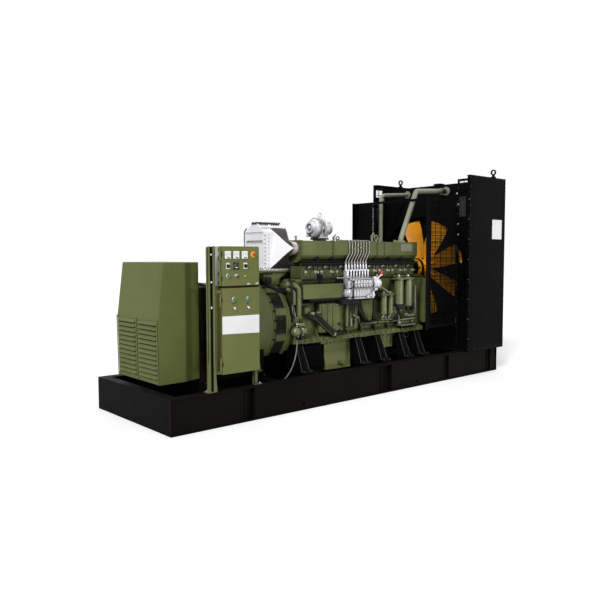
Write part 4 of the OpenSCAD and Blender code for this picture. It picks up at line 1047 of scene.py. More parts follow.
def makeSideParts():
    cast, pale, dark, bright = meshes(4)
    elbow, smallElbow, duct, taper = sideParts.values()
    addPipe(cast, elbow, 70, 34, 20, 8)
    addAll(addLathe, cast, ([(0, 42), (16, 42), (16, 0)], (-806, -436, 896), up, 28),
           ([(0, 40), (14, 40), (14, 0)], (-806, -436, 1120), up, 28))
    addPipe(cast, smallElbow, 34, 20, 16, 8)
    addAll(addPipe, dark, ([(-846, -452, 930), (-846, -452, 1200), (-800, -400, 1290), (-770, -380, 1300)],
        40, 9, 10), ([(-905, -448, 1060), (-905, -448, 1180), (-886, -420, 1290), (-860, -352, 1300)], 40,
        12, 10), ([(-760, -440, 900), (-758, -440, 1220), (-735, -400, 1270)], 30, 6, 8))
    # ribbed oil cooler cover with a rounded shoulder
    addSection(cast, [(-350, 702), (-350, 1046), (-408, 1046), (-432, 1030), (-442, 1000), (-442, 742),
        (-424, 712)], -494, 328, 10)
    for x in (-470, -388, -306, -190):
        addSection(cast, [(-400, 716), (-400, 1040), (-416, 1044), (-440, 1032), (-452, 1000), (-452, 742),
            (-434, 712)], x - 6, 13, 3)
    addBlock(cast, (-494, -446, 934), (-166, -438, 946), 2)
    addBolts(bright, near, 12, *[(x, -446, z) for x in (-452, -350, -250, -178) for z in (1010, 736)])
    addRod(dark, (-222, -446, 796), (-222, -458, 796), 13, 16)
    # round cover, bright union and the black duct that leans from it
    addLathe(cast, [(0, 46), (22, 46), (30, 38), (44, 36), (48, 26), (48, 0)], (-660, -380, 962), near, 32)
    addLathe(bright, [(0, 17), (6, 17), (8, 13), (20, 13), (22, 18), (34, 16), (38, 8), (38, 0)],
        (-622, -440, 934), near, 20)
    addTube(bright, [(-622, -460, 934), (-540, -456, 940), (-500, -448, 944)], 8, 10)
    addPipe(dark, [(-660, -420, 930), (-640, -452, 880), (-560, -452, 872)], 20, 22, 14)
    route = fillet(duct, 60)
    for dz, r in ((0, 24), (16, 18), (-16, 18)):
        addTube(dark, [p + Vector((dz * 0.7, 0, dz * 0.8)) for p in route], r, 14)
    for shift in ((25, -16, 27), (-22, -16, -24)):
        addTube(cast, [p + Vector(shift) for p in route], 3.5, 8)
    addLathe(bright, [(0, 26), (10, 26), (12, 20), (30, 20), (30, 0)], (-300, -440, 690), near, 20)
    # pipes that hang below the tray
    for x, y, z0, z1, r, kind in ((-118, -470, 760, 1010, 17, cast), (-66, -500, 850, 1010, 9, dark),
            (-34, -455, 760, 1010, 13, pale), (16, -470, 730, 1010, 15, cast),
            (62, -452, 740, 1062, 10, cast)):
        addAll(addRod, kind, ((x, y, z0), (x, y, z1), r, 16), ((x, y, z0 + 96), (x, y, z0 + 114), r + 6, 6))
    addAll(addLathe, bright, ([(0, 15), (16, 15), (20, 9), (30, 9), (30, 0)], (-34, -470, 884), near, 16),
           ([(0, 14), (14, 14), (18, 8), (26, 8), (26, 0)], (52, -464, 852), near, 16))
    addPipe(bright, [(-34, -494, 880), (20, -500, 850), (52, -488, 846), (96, -460, 800)], 14, 5, 8, 4)
    # tapered ribbed cover right of the tray, and the black hose that curls under it
    addPlate(cast, taper, (0, -352, 0), 126, 12)
    for x in range(150, 300, 38):
        addPlate(cast, [(x, 1046), (x + 9, 1046), (x * 0.6 + 108, 836), (x * 0.6 + 100, 836)], (0, -470, 0),
            14, 2)
    addPipe(dark, [(34, -500, 1010), (44, -512, 930), (104, -516, 852), (200, -512, 800), (300, -470, 790),
                   (330, -380, 790)], 46, 12, 12)
    addLathe(dark, [(0, 30), (6, 36), (230, 36), (240, 26), (240, 0)], (374, -410, 806), up, 28)
    addPipe(pale, [(392, -486, 1176), (450, -486, 1176), (625, -478, 1086), (660, -440, 1086)], 30, 11, 12)
    addPipe(dark, [(330, -486, 1160), (350, -500, 1110), (420, -480, 1080), (470, -430, 1090)], 24, 9, 10)
    # thin riser at the front end, returning to the second filter
    addPipe(pale, [(1070, -380, 1196), (1070, -470, 1176), (1070, -470, 826), (930, -476, 820),
        (905, -478, 850)], 34, 13, 12)
    addBlock(cast, (1030, -440, 1180), (1110, -352, 1240), 12)
    # pipework and its bracket low at the front
    addPipe(pale, [(800, -430, 770), (860, -470, 778), (1060, -470, 778), (1110, -400, 778)], 24, 9, 10)
    addBlock(pale, (800, -478, 700), (1080, -352, 712), 3)
    addBlock(cast, (830, -452, 712), (1010, -356, 770), 14)
    addPipe(bright, [(700, -440, 890), (730, -480, 860), (735, -495, 820), (770, -480, 760)], 20, 7, 10)
    # painted shade: the first black hose lies where a shadow falls across the crankcase's lower front
    addAll(addPipe, dark,
        ([(-300, -440, 672), (-230, -448, 690), (-40, -440, 782), (330, -440, 786), (420, -400, 800)], 40,
        13, 12), ([(716, -520, 920), (700, -500, 840), (660, -430, 760)], 30, 14, 12))
    addAll(addRod, bright, ((770, -470, 742), (770, -486, 742), 22, 18),
        ((872, -470, 838), (872, -496, 838), 14, 14), ((1010, -466, 742), (1010, -484, 742), 12, 12))
    # small valves under the short filters
    for x, kind in ((500, bright), (560, bright), (616, bright), (672, cast)):
        addRod(kind, (x, -444, 800), (x, -444, 836), 10, 12)
        addBlock(cast, (x - 16, -462, 782), (x + 16, -420, 806), 4)
    addTube(pale, [(480, -448, 792), (700, -448, 786)], 6, 8)
    # terminal box and hoses between the cooler's bracket and the flywheel housing
    addBlock(dark, (-1062, -242, 1264), (-1000, -188, 1328), 8)
    for k in range(3):
        addPipe(dark, [(-1048 + 18 * k, -215, 1270), (-1040 + 20 * k, -228 - 8 * k, 1236 - 14 * k),
            (-960 + 10 * k, -282 - 10 * k, 1204 - 14 * k), (-822, -296 - 12 * k, 1196 - 20 * k)], 30, 11,
            10, 5)
    # painted shade: a dark strip under the long side cover, standing in for its shadow
    addSection(dark, [(-352, 1090), (-352, 1040), (-440, 1048), (-468, 1072), (-468, 1090)], -668, 560, 4)
    finishAll("engine_green", ("sideCastings", cast, "engineGreen"), ("sidePipes", pale, "pipeGrey"),
              ("sideHosesAndShade", dark, "hoseRubber"), ("sideUnions", bright, "pipeGrey"))


makeSideParts()
print("fuel system, filters and starter made")

# charge air cooler: seam strips, bolt rows, grey lid and end strip
cooler = {"x0": -1040, "x1": -725, "half": 160, "low": 1395, "high": 1885, "lidHalf": 44, "bend": 1795}


def makeCooler():
    trim, bolts, grey = meshes(3)
    x0, x1, half, low, high, lidHalf, bend = cooler.values()
    # seam strips follow the cooler's section, 5 wider on each side and on the shoulder
    seam = [(-half - 5, low), (half + 5, low), (half + 5, bend), (45, high + 5), (-45, high + 5),
        (-half - 5, bend)]
    for x, w in ((x0 - 4, 18), (x1 - 16, 16), (x0 + 150, 10)):
        addSection(trim, seam, x, w, 1.5)
    for x, z in product((x0 + 8, x1 - 8), range(low + 30, bend, 42)):
        addAll(addBolt, bolts, ((x, -half - 5, z), near, 10), ((x, half + 5, z), away, 10))
    # bolted seams across the end face
    for z, out in ((1795, 9), (1690, 8), (1420, 10)):
        addBlock(trim, (x0 - out, -half + 6, z - 12), (x0 - 2, half - 6, z + 12), 1.5)
        addBolts(bolts, aft, 9, *[(x0 - out, y, z) for y in range(-140, 168, 28)])
    for s in (-1, 1):
        for x in range(x0 + 22, x1 - 10, 27):
            addAll(addBolt, bolts, ((x, s * (half + 11), low + 12), up, 12),
                ((x, s * 100, 1843), (0, s * 0.6, 0.8), 10))
        addBlock(trim, (x0 - 4, s * (half - 2), low), (x1 + 2, s * (half + 24), low + 12), 2)
    # grey lid with its own fixings, its tabs over the sloping shoulder, and a pipe at the far rear corner
    addBlock(grey, (x0 - 12, -lidHalf, high - 2), (x1 + 4, lidHalf, high + 18), 2)
    for x in range(x0 + 4, x1, 30):
        addBolts(grey, up, 11, (x, -34, high + 18), (x, 34, high + 18))
        addSection(grey, [(-44, 1890), (-58, 1876), (-60, 1868), (-52, 1876), (-44, 1880)], x, 12, 1)
    addPipe(bolts, [(x0 + 4, 150, 1846), (x0 + 4, 192, 1806), (x0 + 4, 194, 1420)], 30, 8, 10)
    # ribs down the end face, dark tabs along its top edge, a blank data plate
    addBlocks(trim, *[(x0 - 10, y - 4, 1700, x0 - 3, y + 4, 1786, 1) for y in (-134, -67, 0, 67, 134)])
    addBlocks(grey, *[(x0 - 13, y, 1696, x0 - 7, y + 10, 1712, 0.8) for y in range(-142, 146, 24)])
    addBlock(grey, (x0 - 3, -118, 1560), (x0 + 1, -84, 1576), 1)
    finishAll("cooler_white", ("coolerTrim", trim, "coolerWhite"), ("coolerBolts", bolts, "collarSteel"))
    finishPiece("coolerLid", grey, "hoodGrey", slot="hood_grey")


makeCooler()

# hoods between cooler and manifolds: dark cones from four corners, a pale flat side, a ribbed neck
hood = {"x0": -918, "x1": -694, "lowShift": -56, "low": 1408, "high": 1842, "side": 161, "chamfer": 97,
        "neck": (-836, 325, 1629), "r": 76, "steps": 10, "rows": 7, "sag": 24, "plate": -990}


def makeHoods():
    bm, pale, steel = meshes(3)
    x0, x1, lowShift, low, high, side, chamfer, (x, cy, cz), r, steps, rows, sag, plate = hood.values()
    # each corner with its quarter of the neck's rim: lower rear, upper rear, upper front, lower front
    quarters = [((x0 + lowShift, -side, low), -90), ((x0, -chamfer, high + 5), 0),
        ((x1, -chamfer, high + 5), 90), ((x1 - 40, -side, low), -180)]
    verts, owners = [], []
    for k, (corner, turn0) in enumerate(quarters):
        corner = Vector(corner)
        for j in range(steps + 1):
            turn = radians(turn0 + 90 * j / steps)
            end = Vector((x + 34 * (1 - cos(turn)) / 2, -cy - r * cos(turn), cz + r * sin(turn)))
            line = []
            for i in range(rows + 1):
                s = i / rows
                p = corner.lerp(end, s)
                pull = Vector((0, 0, cz - p.z))
                if pull.length > 1:
                    pull.normalize()
                free = max(0, (s - 0.36) / 0.64)
                p = p + pull * sag * 4 * free * (1 - free) * (0.35 + 0.65 * abs(sin(turn)))
                line.append(bm.verts.new(p))
            verts.append(line)
            owners.append(k)
    for a in range(len(verts)):
        b = (a + 1) % len(verts)
        for i in range(rows):
            face = bm.faces.new((verts[a][i], verts[b][i], verts[b][i + 1], verts[a][i + 1]))
            face.material_index = 1 if (owners[a], owners[b]) == (0, 1) else 0
    bmesh.ops.remove_doubles(bm, verts=bm.verts[:], dist=0.05)
    bmesh.ops.dissolve_degenerate(bm, edges=bm.edges[:], dist=0.02)
    # foot strip under the hood, pale plate with its bolt column in front of it
    addBlocks(pale, (plate, -side - 8, low - 12, x1 + 4, -side + 4, low + 2, 2),
              (plate, -side - 5, low, x0 - 54, -side + 2, 1796, 1.5))
    addBolts(steel, near, 8, *[(x0 - 66, -side - 5, z) for z in range(low + 20, 1800, 34)])
    # ribbed neck up to the manifold's end plate
    profile = [(0, r - 1)]
    for k in range(5):
        profile += [(6 + 11 * k, r + 3 - 2.4 * k), (11 + 11 * k, r - 2 - 2.4 * k)]
    profile += [(62, r - 8), (66, r - 6), (84, r - 6), (84, r - 22), (0, r - 8)]
    addBand(steel, profile, (x - 2, -cy, cz), ahead, 48)
    finishPiece("coolerHoods", bm, "hoodGrey", slot="hood_grey", mirror=True, limit=34,
        replaces=("cooler_hoods",), extra=("coolerWhite",))
    finishPiece("hoodPlates", pale, "coolerWhite", slot="hood_grey", mirror=True)
    finishPiece("hoodNecks", steel, "collarSteel", slot="bright", mirror=True)


makeHoods()

# turbocharger: scroll housings round a ribbed centre, open inlet and outlet
turbo = {"x": -246, "z": 1870, "scrollSteps": 36, "vanes": 11}


def addScroll(bm, x, inner, low, high, foot=-90):
    # a snail: a round section that grows as it goes about the shaft
    shares = [k / turbo["scrollSteps"] for k in range(turbo["scrollSteps"] + 1)]
    radii = [low + (high - low) * t for t in shares]
    path = [(x, (inner + r) * cos(radians(foot) + 2 * pi * t),
        turbo["z"] + (inner + r) * sin(radians(foot) + 2 * pi * t)) for t, r in zip(shares, radii)]
    addTube(bm, path, radii, 16)


def makeTurbo():
    cast, dark, clamp = meshes(3)
    x, z = turbo["x"], turbo["z"]
    centre = (x, 0, z)
    # compressor: inlet bell, scroll, back plate
    addBand(cast, [(-20, 48), (-20, 60), (-17, 63), (-8, 63), (-6, 59), (10, 66), (22, 82), (30, 84),
        (60, 78), (60, 44), (-16, 44)], centre, ahead, 48)
    addRod(cast, (x + 26, 0, z), (x + 50, 0, z), 43.6, 40)
    addScroll(cast, x + 46, 46, 22, 35)
    addRod(cast, (x + 46, 78, z - 6), (x + 46, 78, z - 104), 27, 24)
    addBand(cast, [(60, 96), (64, 112), (84, 112), (88, 106), (90, 74), (60, 74)], centre, ahead, 56)
    addBand(clamp, [(66, 111), (66, 117), (82, 117), (82, 111)], centre, ahead, 56)
    # ribbed centre
    profile = [(88, 66)]
    for d in range(92, 164, 18):
        profile += [(d, 66), (d + 2, 58), (d + 10, 58), (d + 12, 66)]
    addLathe(cast, profile + [(172, 68), (172, 0)], centre, ahead, 40)
    addAll(addRod, cast, ((x + 130, -60, z), (x + 130, -84, z + 4), 20, 18),
        ((x + 130, 0, z + 52), (x + 130, 0, z + 82), 16, 18))
    addPipe(clamp, [(x + 130, 0, z + 80), (x + 130, -20, z + 96), (x + 110, -90, z + 60),
        (x + 96, -96, z - 90)], 20, 6, 10)
    # turbine: plate, scroll, outlet flange
    addBand(cast, [(168, 72), (168, 104), (172, 108), (182, 108), (186, 100), (190, 72)], centre, ahead, 56)
    addScroll(cast, x + 212, 44, 20, 33, foot=-80)
    addLathe(cast, [(196, 70), (232, 76), (246, 70), (262, 64), (276, 66), (278, 77), (290, 77), (290, 56),
        (232, 56), (232, 0)], centre, ahead, 48)
    boltRing(clamp, (x + 278, 0, z), aft, 70, 6, 13, washer=False)
    addAll(boltRing, clamp, ((x + 182, 0, z), ahead, 101, 12, 11), ((x + 60, 0, z), aft, 103, 12, 11))
    # foot down to the exhaust manifold
    addBlocks(cast, (x + 104, -48, 1752, x + 196, 48, z - 40, 10), (x + 80, -82, 1750, x + 212, 82, 1766, 4))
    addBolts(clamp, up, 16, *[(x + dx, y, 1766) for dx in (92, 200) for y in (-70, 70)])
    # rotor nut and vanes seen inside the inlet
    addLathe(cast, [(0, 24), (-34, 23), (-42, 17), (-46, 8), (-46, 0)], (x + 28, 0, z), ahead, 16)
    for a in around(turbo["vanes"]):
        addPrism(dark, [(8, 0), (41, 0), (41, 26), (8, 30)], (x + 26, 0, z), (0, cos(a), sin(a)), aft, 2.4,
            0.3)
    # lifting eye on top
    addTube(cast, [(x + 150 + 24 * cos(a), 0, z + 148 + 24 * sin(a)) for a in around(20)], 7, 8, closed=True)
    addRod(cast, (x + 150, 0, z + 60), (x + 150, 0, z + 122), 11, 14)
    # pale bands on both housings
    addAll(addBand, clamp, ([(92, 70), (92, 78), (98, 78), (98, 70)], centre, ahead, 40),
           ([(160, 70), (160, 80), (168, 80), (168, 70)], centre, ahead, 40))
    finishAll("bright", ("turbocharger", cast, "turboSilver", "turbocharger"),
        ("turboClamps", clamp, "lineSteel"), ("turboWheel", dark, "turboSilver"))


def makeExhaust():
    bm, bands = meshes(2)
    ribs = [(0, 96)]
    for d in range(6, 50, 11):
        ribs += [(d, 103), (d + 5, 96)]
    for x in bores:
        if x < 1050:
            addBand(bm, ribs + [(52, 96), (52, 90), (0, 90)], (x + 86, 0, 1410), ahead, 40)
            addAll(addBand, bands, *[([(0, 95), (0, 100), (10, 100), (10, 95)], (x + dx, 0, 1410), ahead, 40)
                                     for dx in (72, 142)])
        for s, y in ((-1, -236), (1, 224)):
            # port stubs from the heads
            addPipe(bm, [(x, s * 232, 1370), (x, s * 180, 1370), (x, s * 80, 1400)], 26, 30, 16, 4)
            addPlate(bm, roundedOutline(96, 92, 18), (x, y, 1370), 12, 2)
    addLathe(bm, [(0, 0), (0, 88), (8, 96), (14, 96)], (-696, 0, 1410), ahead, 40)
    finishAll("iron", ("exhaustBellows", bm, "bareCasting"), ("exhaustBands", bands, "lineSteel"))


def makeBracketBolts():
    bm, dark = meshes(2)
    for s in (-1, 1):
        addBolts(bm, up, 14, *[(x, s * 184, 1395) for x in range(-1080, -740, 54)])
        addBlock(dark, (-1098, s * 186, 1371), (-728, s * 203, 1377), 1)
    # painted shade: dark strips for the gap between bracket and alternator, and clips
    addBlocks(dark, *[(x, -196, 1352, x + 8, -150, 1368, 1) for x in range(-1090, -950, 20)])
    addBlock(dark, (-1150, -180, 1285), (-1096, -60, 1345), 10)
    finishAll("engine_green", ("bracketBolts", bm, "zincBolt"), ("bracketStrips", dark, "beltRubber"))


makeTurbo()
makeExhaust()
makeBracketBolts()
print("cooler, hoods and turbocharger made")

# cooling fan: cambered blades riveted to a ribbed hub, grooved pulley; three belts and their crank pulley
fan = {"x": 1800, "z": 1390, "tip": 640, "blades": 8, "first": 27, "root": 128, "rootWidth": 140,
    "tipWidth": 262, "rootPitch": 34, "tipPitch": 22, "camber": 0.055, "thick": 5.0, "spans": 9,
    "chords": 8}


def fanPoint(turn, radius, along, lift):
    # a point on the blade: along its chord, lifted off the chord
    t = (radius - fan["root"]) / (fan["tip"] - fan["root"])
    pitch = radians(fan["rootPitch"] + (fan["tipPitch"] - fan["rootPitch"]) * t)
    axial, sideways = along * sin(pitch) + lift * cos(pitch), along * cos(pitch) - lift * sin(pitch)
    a = turn + atan2(sideways, radius)
    return Vector((fan["x"] + axial, -radius * sin(a), fan["z"] + radius * cos(a)))


def makeFan():
    bm, bolts = meshes(2)
    axis, root, tip, wide, rows = fan["z"], fan["root"], fan["tip"], fan["chords"] + 1, fan["spans"] + 1
    half = wide * rows
    # skins of a blade on both sides, then its two long edges, root and tip
    faces = [(a, a + 1, a + wide + 1, a + wide) for s in (0, half) for i in range(s, s + half - wide, wide)
             for a in range(i, i + wide - 1)]
    faces += [(a, a + wide, a + wide + half, a + half) for i in range(0, half - wide, wide) for a in (i,
        i + wide - 1)]
    faces += [(a, a + 1, a + 1 + half, a + half) for j in range(wide - 1) for a in (j, j + half - wide)]
    for k in range(fan["blades"]):
        turn = radians(fan["first"]) + 2 * pi * k / fan["blades"]
        points = []
        for side, i in product((1, -1), range(rows)):
            t = i / fan["spans"]
            width = fan["rootWidth"] + (fan["tipWidth"] - fan["rootWidth"]) * (t ** 0.8)
            width *= 1 - 0.10 * max(0, t - 0.82) / 0.18
            for j in range(wide):
                c = j / fan["chords"] - 0.5
                bow = (0.25 - c * c) * 4 * fan["camber"] * width
                points.append(fanPoint(turn, root + (tip - root) * t, c * width,
                    bow + side * fan["thick"] / 2 * (1 - 1.2 * c * c)))
        addShell(bm, points, faces)
        # spider arm and its rivets
        inner, outer = fanPoint(turn, 96, 0, 12), fanPoint(turn, 250, 0, 12)
        addTube(bm, [inner, (inner + outer) / 2, outer], [26, 22, 13], 12)
        for r, off in ((150, -34), (150, 34), (196, -34), (196, 34), (236, 0)):
            out = (fanPoint(turn, r, off, 14) - fanPoint(turn, r, off, -4)).normalized()
            addLathe(bolts, [(0, 9), (3, 8), (5, 4.5), (5.5, 0)], fanPoint(turn, r, off, 12),
                -out if out.x > 0 else out, 10)
    addBand(bm, [(0, 31), (0, 60), (2, 108), (8, 114), (14, 108), (40, 106), (44, 112), (50, 112), (52, 66),
        (60, 64), (100, 66), (112, 76), (120, 104), (128, 110), (192, 110), (198, 104), (200, 70),
        (200, 31)], (1640, 0, axis), ahead, 48)
    for a in around(8, 0.5):
        addTube(bm, [(x, -r * sin(a), axis + r * cos(a)) for x, r in ((1700, 64), (1766, 96))], [9, 14], 8)
    addAll(boltRing, bolts, ((1642, 0, axis), aft, 84, 6, 18), ((1839, 0, axis), ahead, 88, 8, 18))
    finishPiece("fanBlades", bm, "fanOrange", body="fan", slot="fan_orange", limit=42,
        replaces=("cooling_fan",))
    finishPiece("fanBolts", bolts, "darkBolt", body="fan", slot="fan_orange")


belts = {"top": 1390, "low": 840, "topR": 110.5, "lowR": 140.5, "lanes": (1643.5, 1658.5, 1673.5),
    "turns": 24, "section": ((3, 0), (10.5, 0), (13, 11), (11.5, 13.4), (2, 13.4), (0.5, 11))}


def makeBelts():
    bm, wheel, bolts = meshes(3)
    top, low, r1, r2, lanes, turns, section = belts.values()
    lean = radians(90) - atan2(((top - low) ** 2 - (r2 - r1) ** 2) ** 0.5, r2 - r1)
    path = [(lean + (pi - 2 * lean) * k / turns, r1, top) for k in range(turns + 1)]
    path += [(pi - lean + (pi + 2 * lean) * k / turns, r2, low) for k in range(turns + 1)]
    for x in lanes:
        rings = []
        for a, r, z in path:
            points = [(x + dx, (r + dr) * cos(a), z + (r + dr) * sin(a)) for dx, dr in section]
            rings.append([bm.verts.new(p) for p in points])
        joinRows(bm, rings, True, False)
    finishPiece("fanBelts", bm, "beltRubber", slot="belt_rubber", replaces=("fan_belts",))
    addBand(wheel, [(0, 36), (0, 60), (4, 64), (4, 120), (0, 126), (0, 132), (10, 132), (10, 60), (30, 50),
        (30, 36)], (1629, 0, low), ahead, 48)
    boltRing(bolts, (1633, 0, low), aft, 88, 6, 20)
    addRod(bolts, (1640, 0, low), (1700, 0, low), 24, 24)
    finishAll("frame_black", ("crankPulleyFace", wheel, "frameBlack"),
        ("crankPulleyBolts", bolts, "darkBolt"))


makeFan()
makeBelts()

# guards: welded wire over the wide bars, clips and hinges at their rims; the same wire in the front strips
guard = {"x0": 1160, "x1": 1700, "y": 622, "low": 665, "high": 2246}


def addNet(bm, corner, u, v, nu, nv, r=1.5):
    corner, u, v = Vector(corner), Vector(u), Vector(v)
    w = u.cross(v).normalized() * r
    for i in range(nu + 1):
        p = corner + u * i / nu
        addTube(bm, [p + w, p + v + w], r, 4)
    for j in range(nv + 1):
        p = corner + v * j / nv
        addTube(bm, [p - w, p + u - w], r, 4)


def makeGuards():
    wires, clips, posts, tag, bright, grille = meshes(6)
    x0, x1, y, low, high = guard.values()
    for s in (-1, 1):
        addAll(addNet, wires, ((x0, s * y, low), (x1 - x0, 0, 0), (0, 0, high - low), 24, 106),
               ((x0, s * (y + 2), low), (x1 - x0, 0, 0), (0, 0, high - low), 12, 35, 2.6))
        # upright angle at the guard's engine end
        addBlocks(posts, (1144, s * 596, 640, 1150, s * 626, 2250, 1),
            (1084, s * 620, 640, 1150, s * 626, 2250, 1))
        addNet(wires, (1711, s * y, 345), (0, s * 182, 0), (0, 0, 2155), 5, 62)
        for z in (720, 1180, 1640, 2190):
            addBlock(clips, (1688, s * y - 9, z - 26), (1712, s * y + 9, z + 26), 3)
            addRod(clips, (1700, s * y, z - 34), (1700, s * y, z + 34), 8, 12)
        for z in range(420, 2500, 160):
            addBolts(clips, aft, 12, (1708, s * 806, z), (1708, s * 632, z + 60))
    addNet(wires, (2497, -795, 345), (0, 1590, 0), (0, 0, 2100), 39, 50)
    # yellowish tag fitting and the light grid high on the near strip
    addLathe(tag, [(0, 12), (5, 12), (7, 8), (14, 8), (15, 0)], (1708, -691, 1466), aft, 16)
    for y in range(-741, -641, 20):
        addTube(grille, [(1706, y, 2042), (1706, y, 2284)], 1.6, 4)
    for z in range(2042, 2302, 20):
        addTube(grille, [(1706, -745, z), (1706, -657, z)], 1.6, 4)
    addBolts(bright, aft, 15, (1705, -616, 2331), (1705, -638, 1946), (1705, -640, 1813), (1705, -640, 2192))
    addBolts(bright, aft, 9, *[(1706, -803, z) for z in range(500, 2500, 250)])
    finishAll("frame_black", ("guardWires", wires, "frameBlack"), ("guardPosts", posts, "frameBlack"),
              ("guardClips", clips, "darkBolt"), ("stripFitting", tag, "lensAmber"))
    finishAll("frame_black", ("stripGrille", grille, "dimSteel"), ("stripBolts", bright, "zincBolt"),
        mirror=True)


makeGuards()

# radiator: core tubes and fins, tank flanges, panel bolts, folds and the bare plate, filler cap
radiator = {"front": 1880, "rear": 2140, "half": 770, "low": 560, "high": 2160, "tubes": 54, "fins": 116,
    "skin": 815}


def makeCore():
    fins, tubes = meshes(2)
    front, rear, half, low, high, tubeCount, finCount, skin = radiator.values()
    box = [(0, 3, 2, 1), (4, 5, 6, 7), (0, 1, 5, 4), (1, 2, 6, 5), (2, 3, 7, 6), (3, 0, 4, 7)]
    for k in range(finCount):
        z = low + 8 + (high - low - 16) * k / (finCount - 1)
        for x0, x1 in ((rear - 2, rear + 3.4), (front - 2.6, front + 2)):
            corners = [(x0, 4 - half), (x1, 4 - half), (x1, half - 4), (x0, half - 4)]
            addShell(fins, [(x, y, z + dz) for dz in (-0.9, 0.9) for x, y in corners], box)
    for k in range(tubeCount):
        y = -half + 16 + (2 * half - 32) * k / (tubeCount - 1)
        addTube(tubes, [(rear, y, low + 4), (rear, y, high - 4)], 4.6, 8)
        if abs(y) < 640:
            addTube(tubes, [(front, y, low + 4), (front, y, high - 4)], 3.8, 6)
    finishAll("frame_black", ("coreFinStrips", fins, "coreFins"), ("coreTubes", tubes, "coreFins"))


def makeTanks():
    bm, bolts = meshes(2)
    for z in (radiator["high"] - 14, radiator["low"] - 2):
        addBlock(bm, (2138, -792, z), (2226, 792, z + 16), 2)
        for y in range(-760, 780, 76):
            addAll(addBolt, bolts, ((2212, y, z + 16), up, 14), ((2212, y, z), down, 14))
    for y in (-520, -174, 174, 520):
        addAll(addPlate, bm, ([(-2, 0), (26, 0), (14, 290), (-2, 290)], (2198, y - 5, 2176), 10, 2),
               ([(-2, 0), (26, 0), (26, 190), (-2, 190)], (2198, y - 5, 350), 10, 2))
    # filler neck and its cap with grips, overflow pipe, level glass
    addLathe(bm, [(0, 60), (0, 72), (6, 74), (10, 70), (30, 66), (34, 70), (44, 70), (50, 62), (52, 40),
        (52, 0)], (2150, 0, 2483), up, 40)
    for a in around(6):
        x, y = 2150 + 62 * cos(a), 62 * sin(a)
        addRod(bm, (x, y, 2516), (x, y, 2532), 13, 12)
    addPipe(bm, [(2150, 70, 2500), (2150, 140, 2500), (2226, 140, 2500), (2226, 140, 2200)], 30, 7, 10)
    addAll(addLathe, bm, *[([(0, 30), (10, 30), (12, 24), (26, 24), (26, 0)], (2198, y, 2320), ahead, 24)
                           for y in (-700, 700)])
    addLathe(bolts, [(0, 24), (8, 24), (10, 14), (24, 14), (30, 9), (30, 0)], (2198, 600, 380), ahead, 20)
    # fan ring: rolled lip, stiffener, bolted flange
    addAll(addBand, bm, ([(-6, 686), (-10, 682), (-6, 677), (0, 680), (0, 684)], (1762, 0, 1390), ahead, 96),
           ([(0, 683), (0, 694), (6, 694), (6, 683)], (1870, 0, 1390), ahead, 96))
    for a in around(16, 0.5):
        y, z = -704 * sin(a), 1390 + 704 * cos(a)
        addRod(bolts, (1866, y, z), (1876, y, z), 8, 6)
    finishAll("frame_black", ("tankRims", bm, "frameBlack"), ("tankBolts", bolts, "darkBolt"))


def makePanels():
    bolts, folds, plate, eyes = meshes(4)
    y = -radiator["skin"]
    places = [(x, z) for z in range(372, 2540, 120) for x in (1718, 2485)]
    places += [(x, z) for x in range(1840, 2480, 120) for z in (352, 2532)]
    for x, z in places:
        addLathe(bolts, [(0, 8), (1.2, 7.4), (1.8, 4), (1.9, 0)], (x, y, z), near, 12)
    addBlocks(folds, (1757, y - 1.6, 340, 1762, y + 2, 2545, 0.7),
        (2462, y - 1.6, 340, 2466, y + 2, 2545, 0.7),
        *[(1770, y - 1.4, z, 2455, y + 2, z + 5, 0.6) for z in (1000, 1700)])
    finishAll("frame_black", ("panelBolts", bolts, "darkBolt"), ("panelFolds", folds, "frameBlack"),
        mirror=True)
    addPlate(plate, roundedOutline(220, 252, 8), (2311, y, 1885), 1.7, 0.5)
    # welded collars and lock nuts of the lifting eyes, bolts along the foot frame
    for s in (-1, 1):
        addAll(addLathe, eyes, ([(0, 34), (6, 33), (12, 28), (18, 20), (18, 0)], (2262, s * 780, 2552), up,
            24), ([(0, 20), (10, 20), (10, 0)], (2262, s * 780, 2580), up, 6))
        addBolts(eyes, up, 20, *[(x, s * 700, 333) for x in range(1760, 2480, 140)])
    finishAll("frame_black", ("radiatorPlate", plate, "plateWhite"), ("eyeCollars", eyes, "frameBlack"))


def makePipeJoints():
    rubber, clamps, flange = meshes(3)
    for x, y, z, r in ((1790, -325, 2389, 32), (1820, 325, 455, 38)):
        addBand(rubber, [(0, r + 0.6), (0, r + 3), (3, r + 4), (87, r + 4), (90, r + 3), (90, r + 0.6)],
            (x - 45, y, z), ahead, 32)
        for at in (x - 36, x + 26):
            addBand(clamps, [(0, r + 3), (0, r + 6), (11, r + 6), (11, r + 3)], (at, y, z), ahead, 32)
            addRod(clamps, (at + 5, y - 10, z - r - 10), (at + 5, y + 14, z - r - 10), 4, 10)
    addLathe(flange, [(0, 60), (10, 60), (13, 50), (13, 32)], (969, -325, 1711), up, 32)
    boltRing(flange, (969, -325, 1721), up, 48, 4, 16)
    finishAll("pipe_grey", ("pipeHoses", rubber, "hoseRubber"), ("pipeClamps", clamps, "zincBolt"),
              ("pipeFlanges", flange, "pipeGrey"))


makeCore()
makeTanks()
makePanels()
makePipeJoints()
print("radiator, fan and guards made")

# cabinet stand: slotted post with flared foot, clamp bolts, arms behind the cabinets, right leg and strut
stand = {"x0": -2107, "x1": -2030, "y0": -720, "y1": -690, "floor": 325, "top": 1635, "leg": (-1565, -1524)}


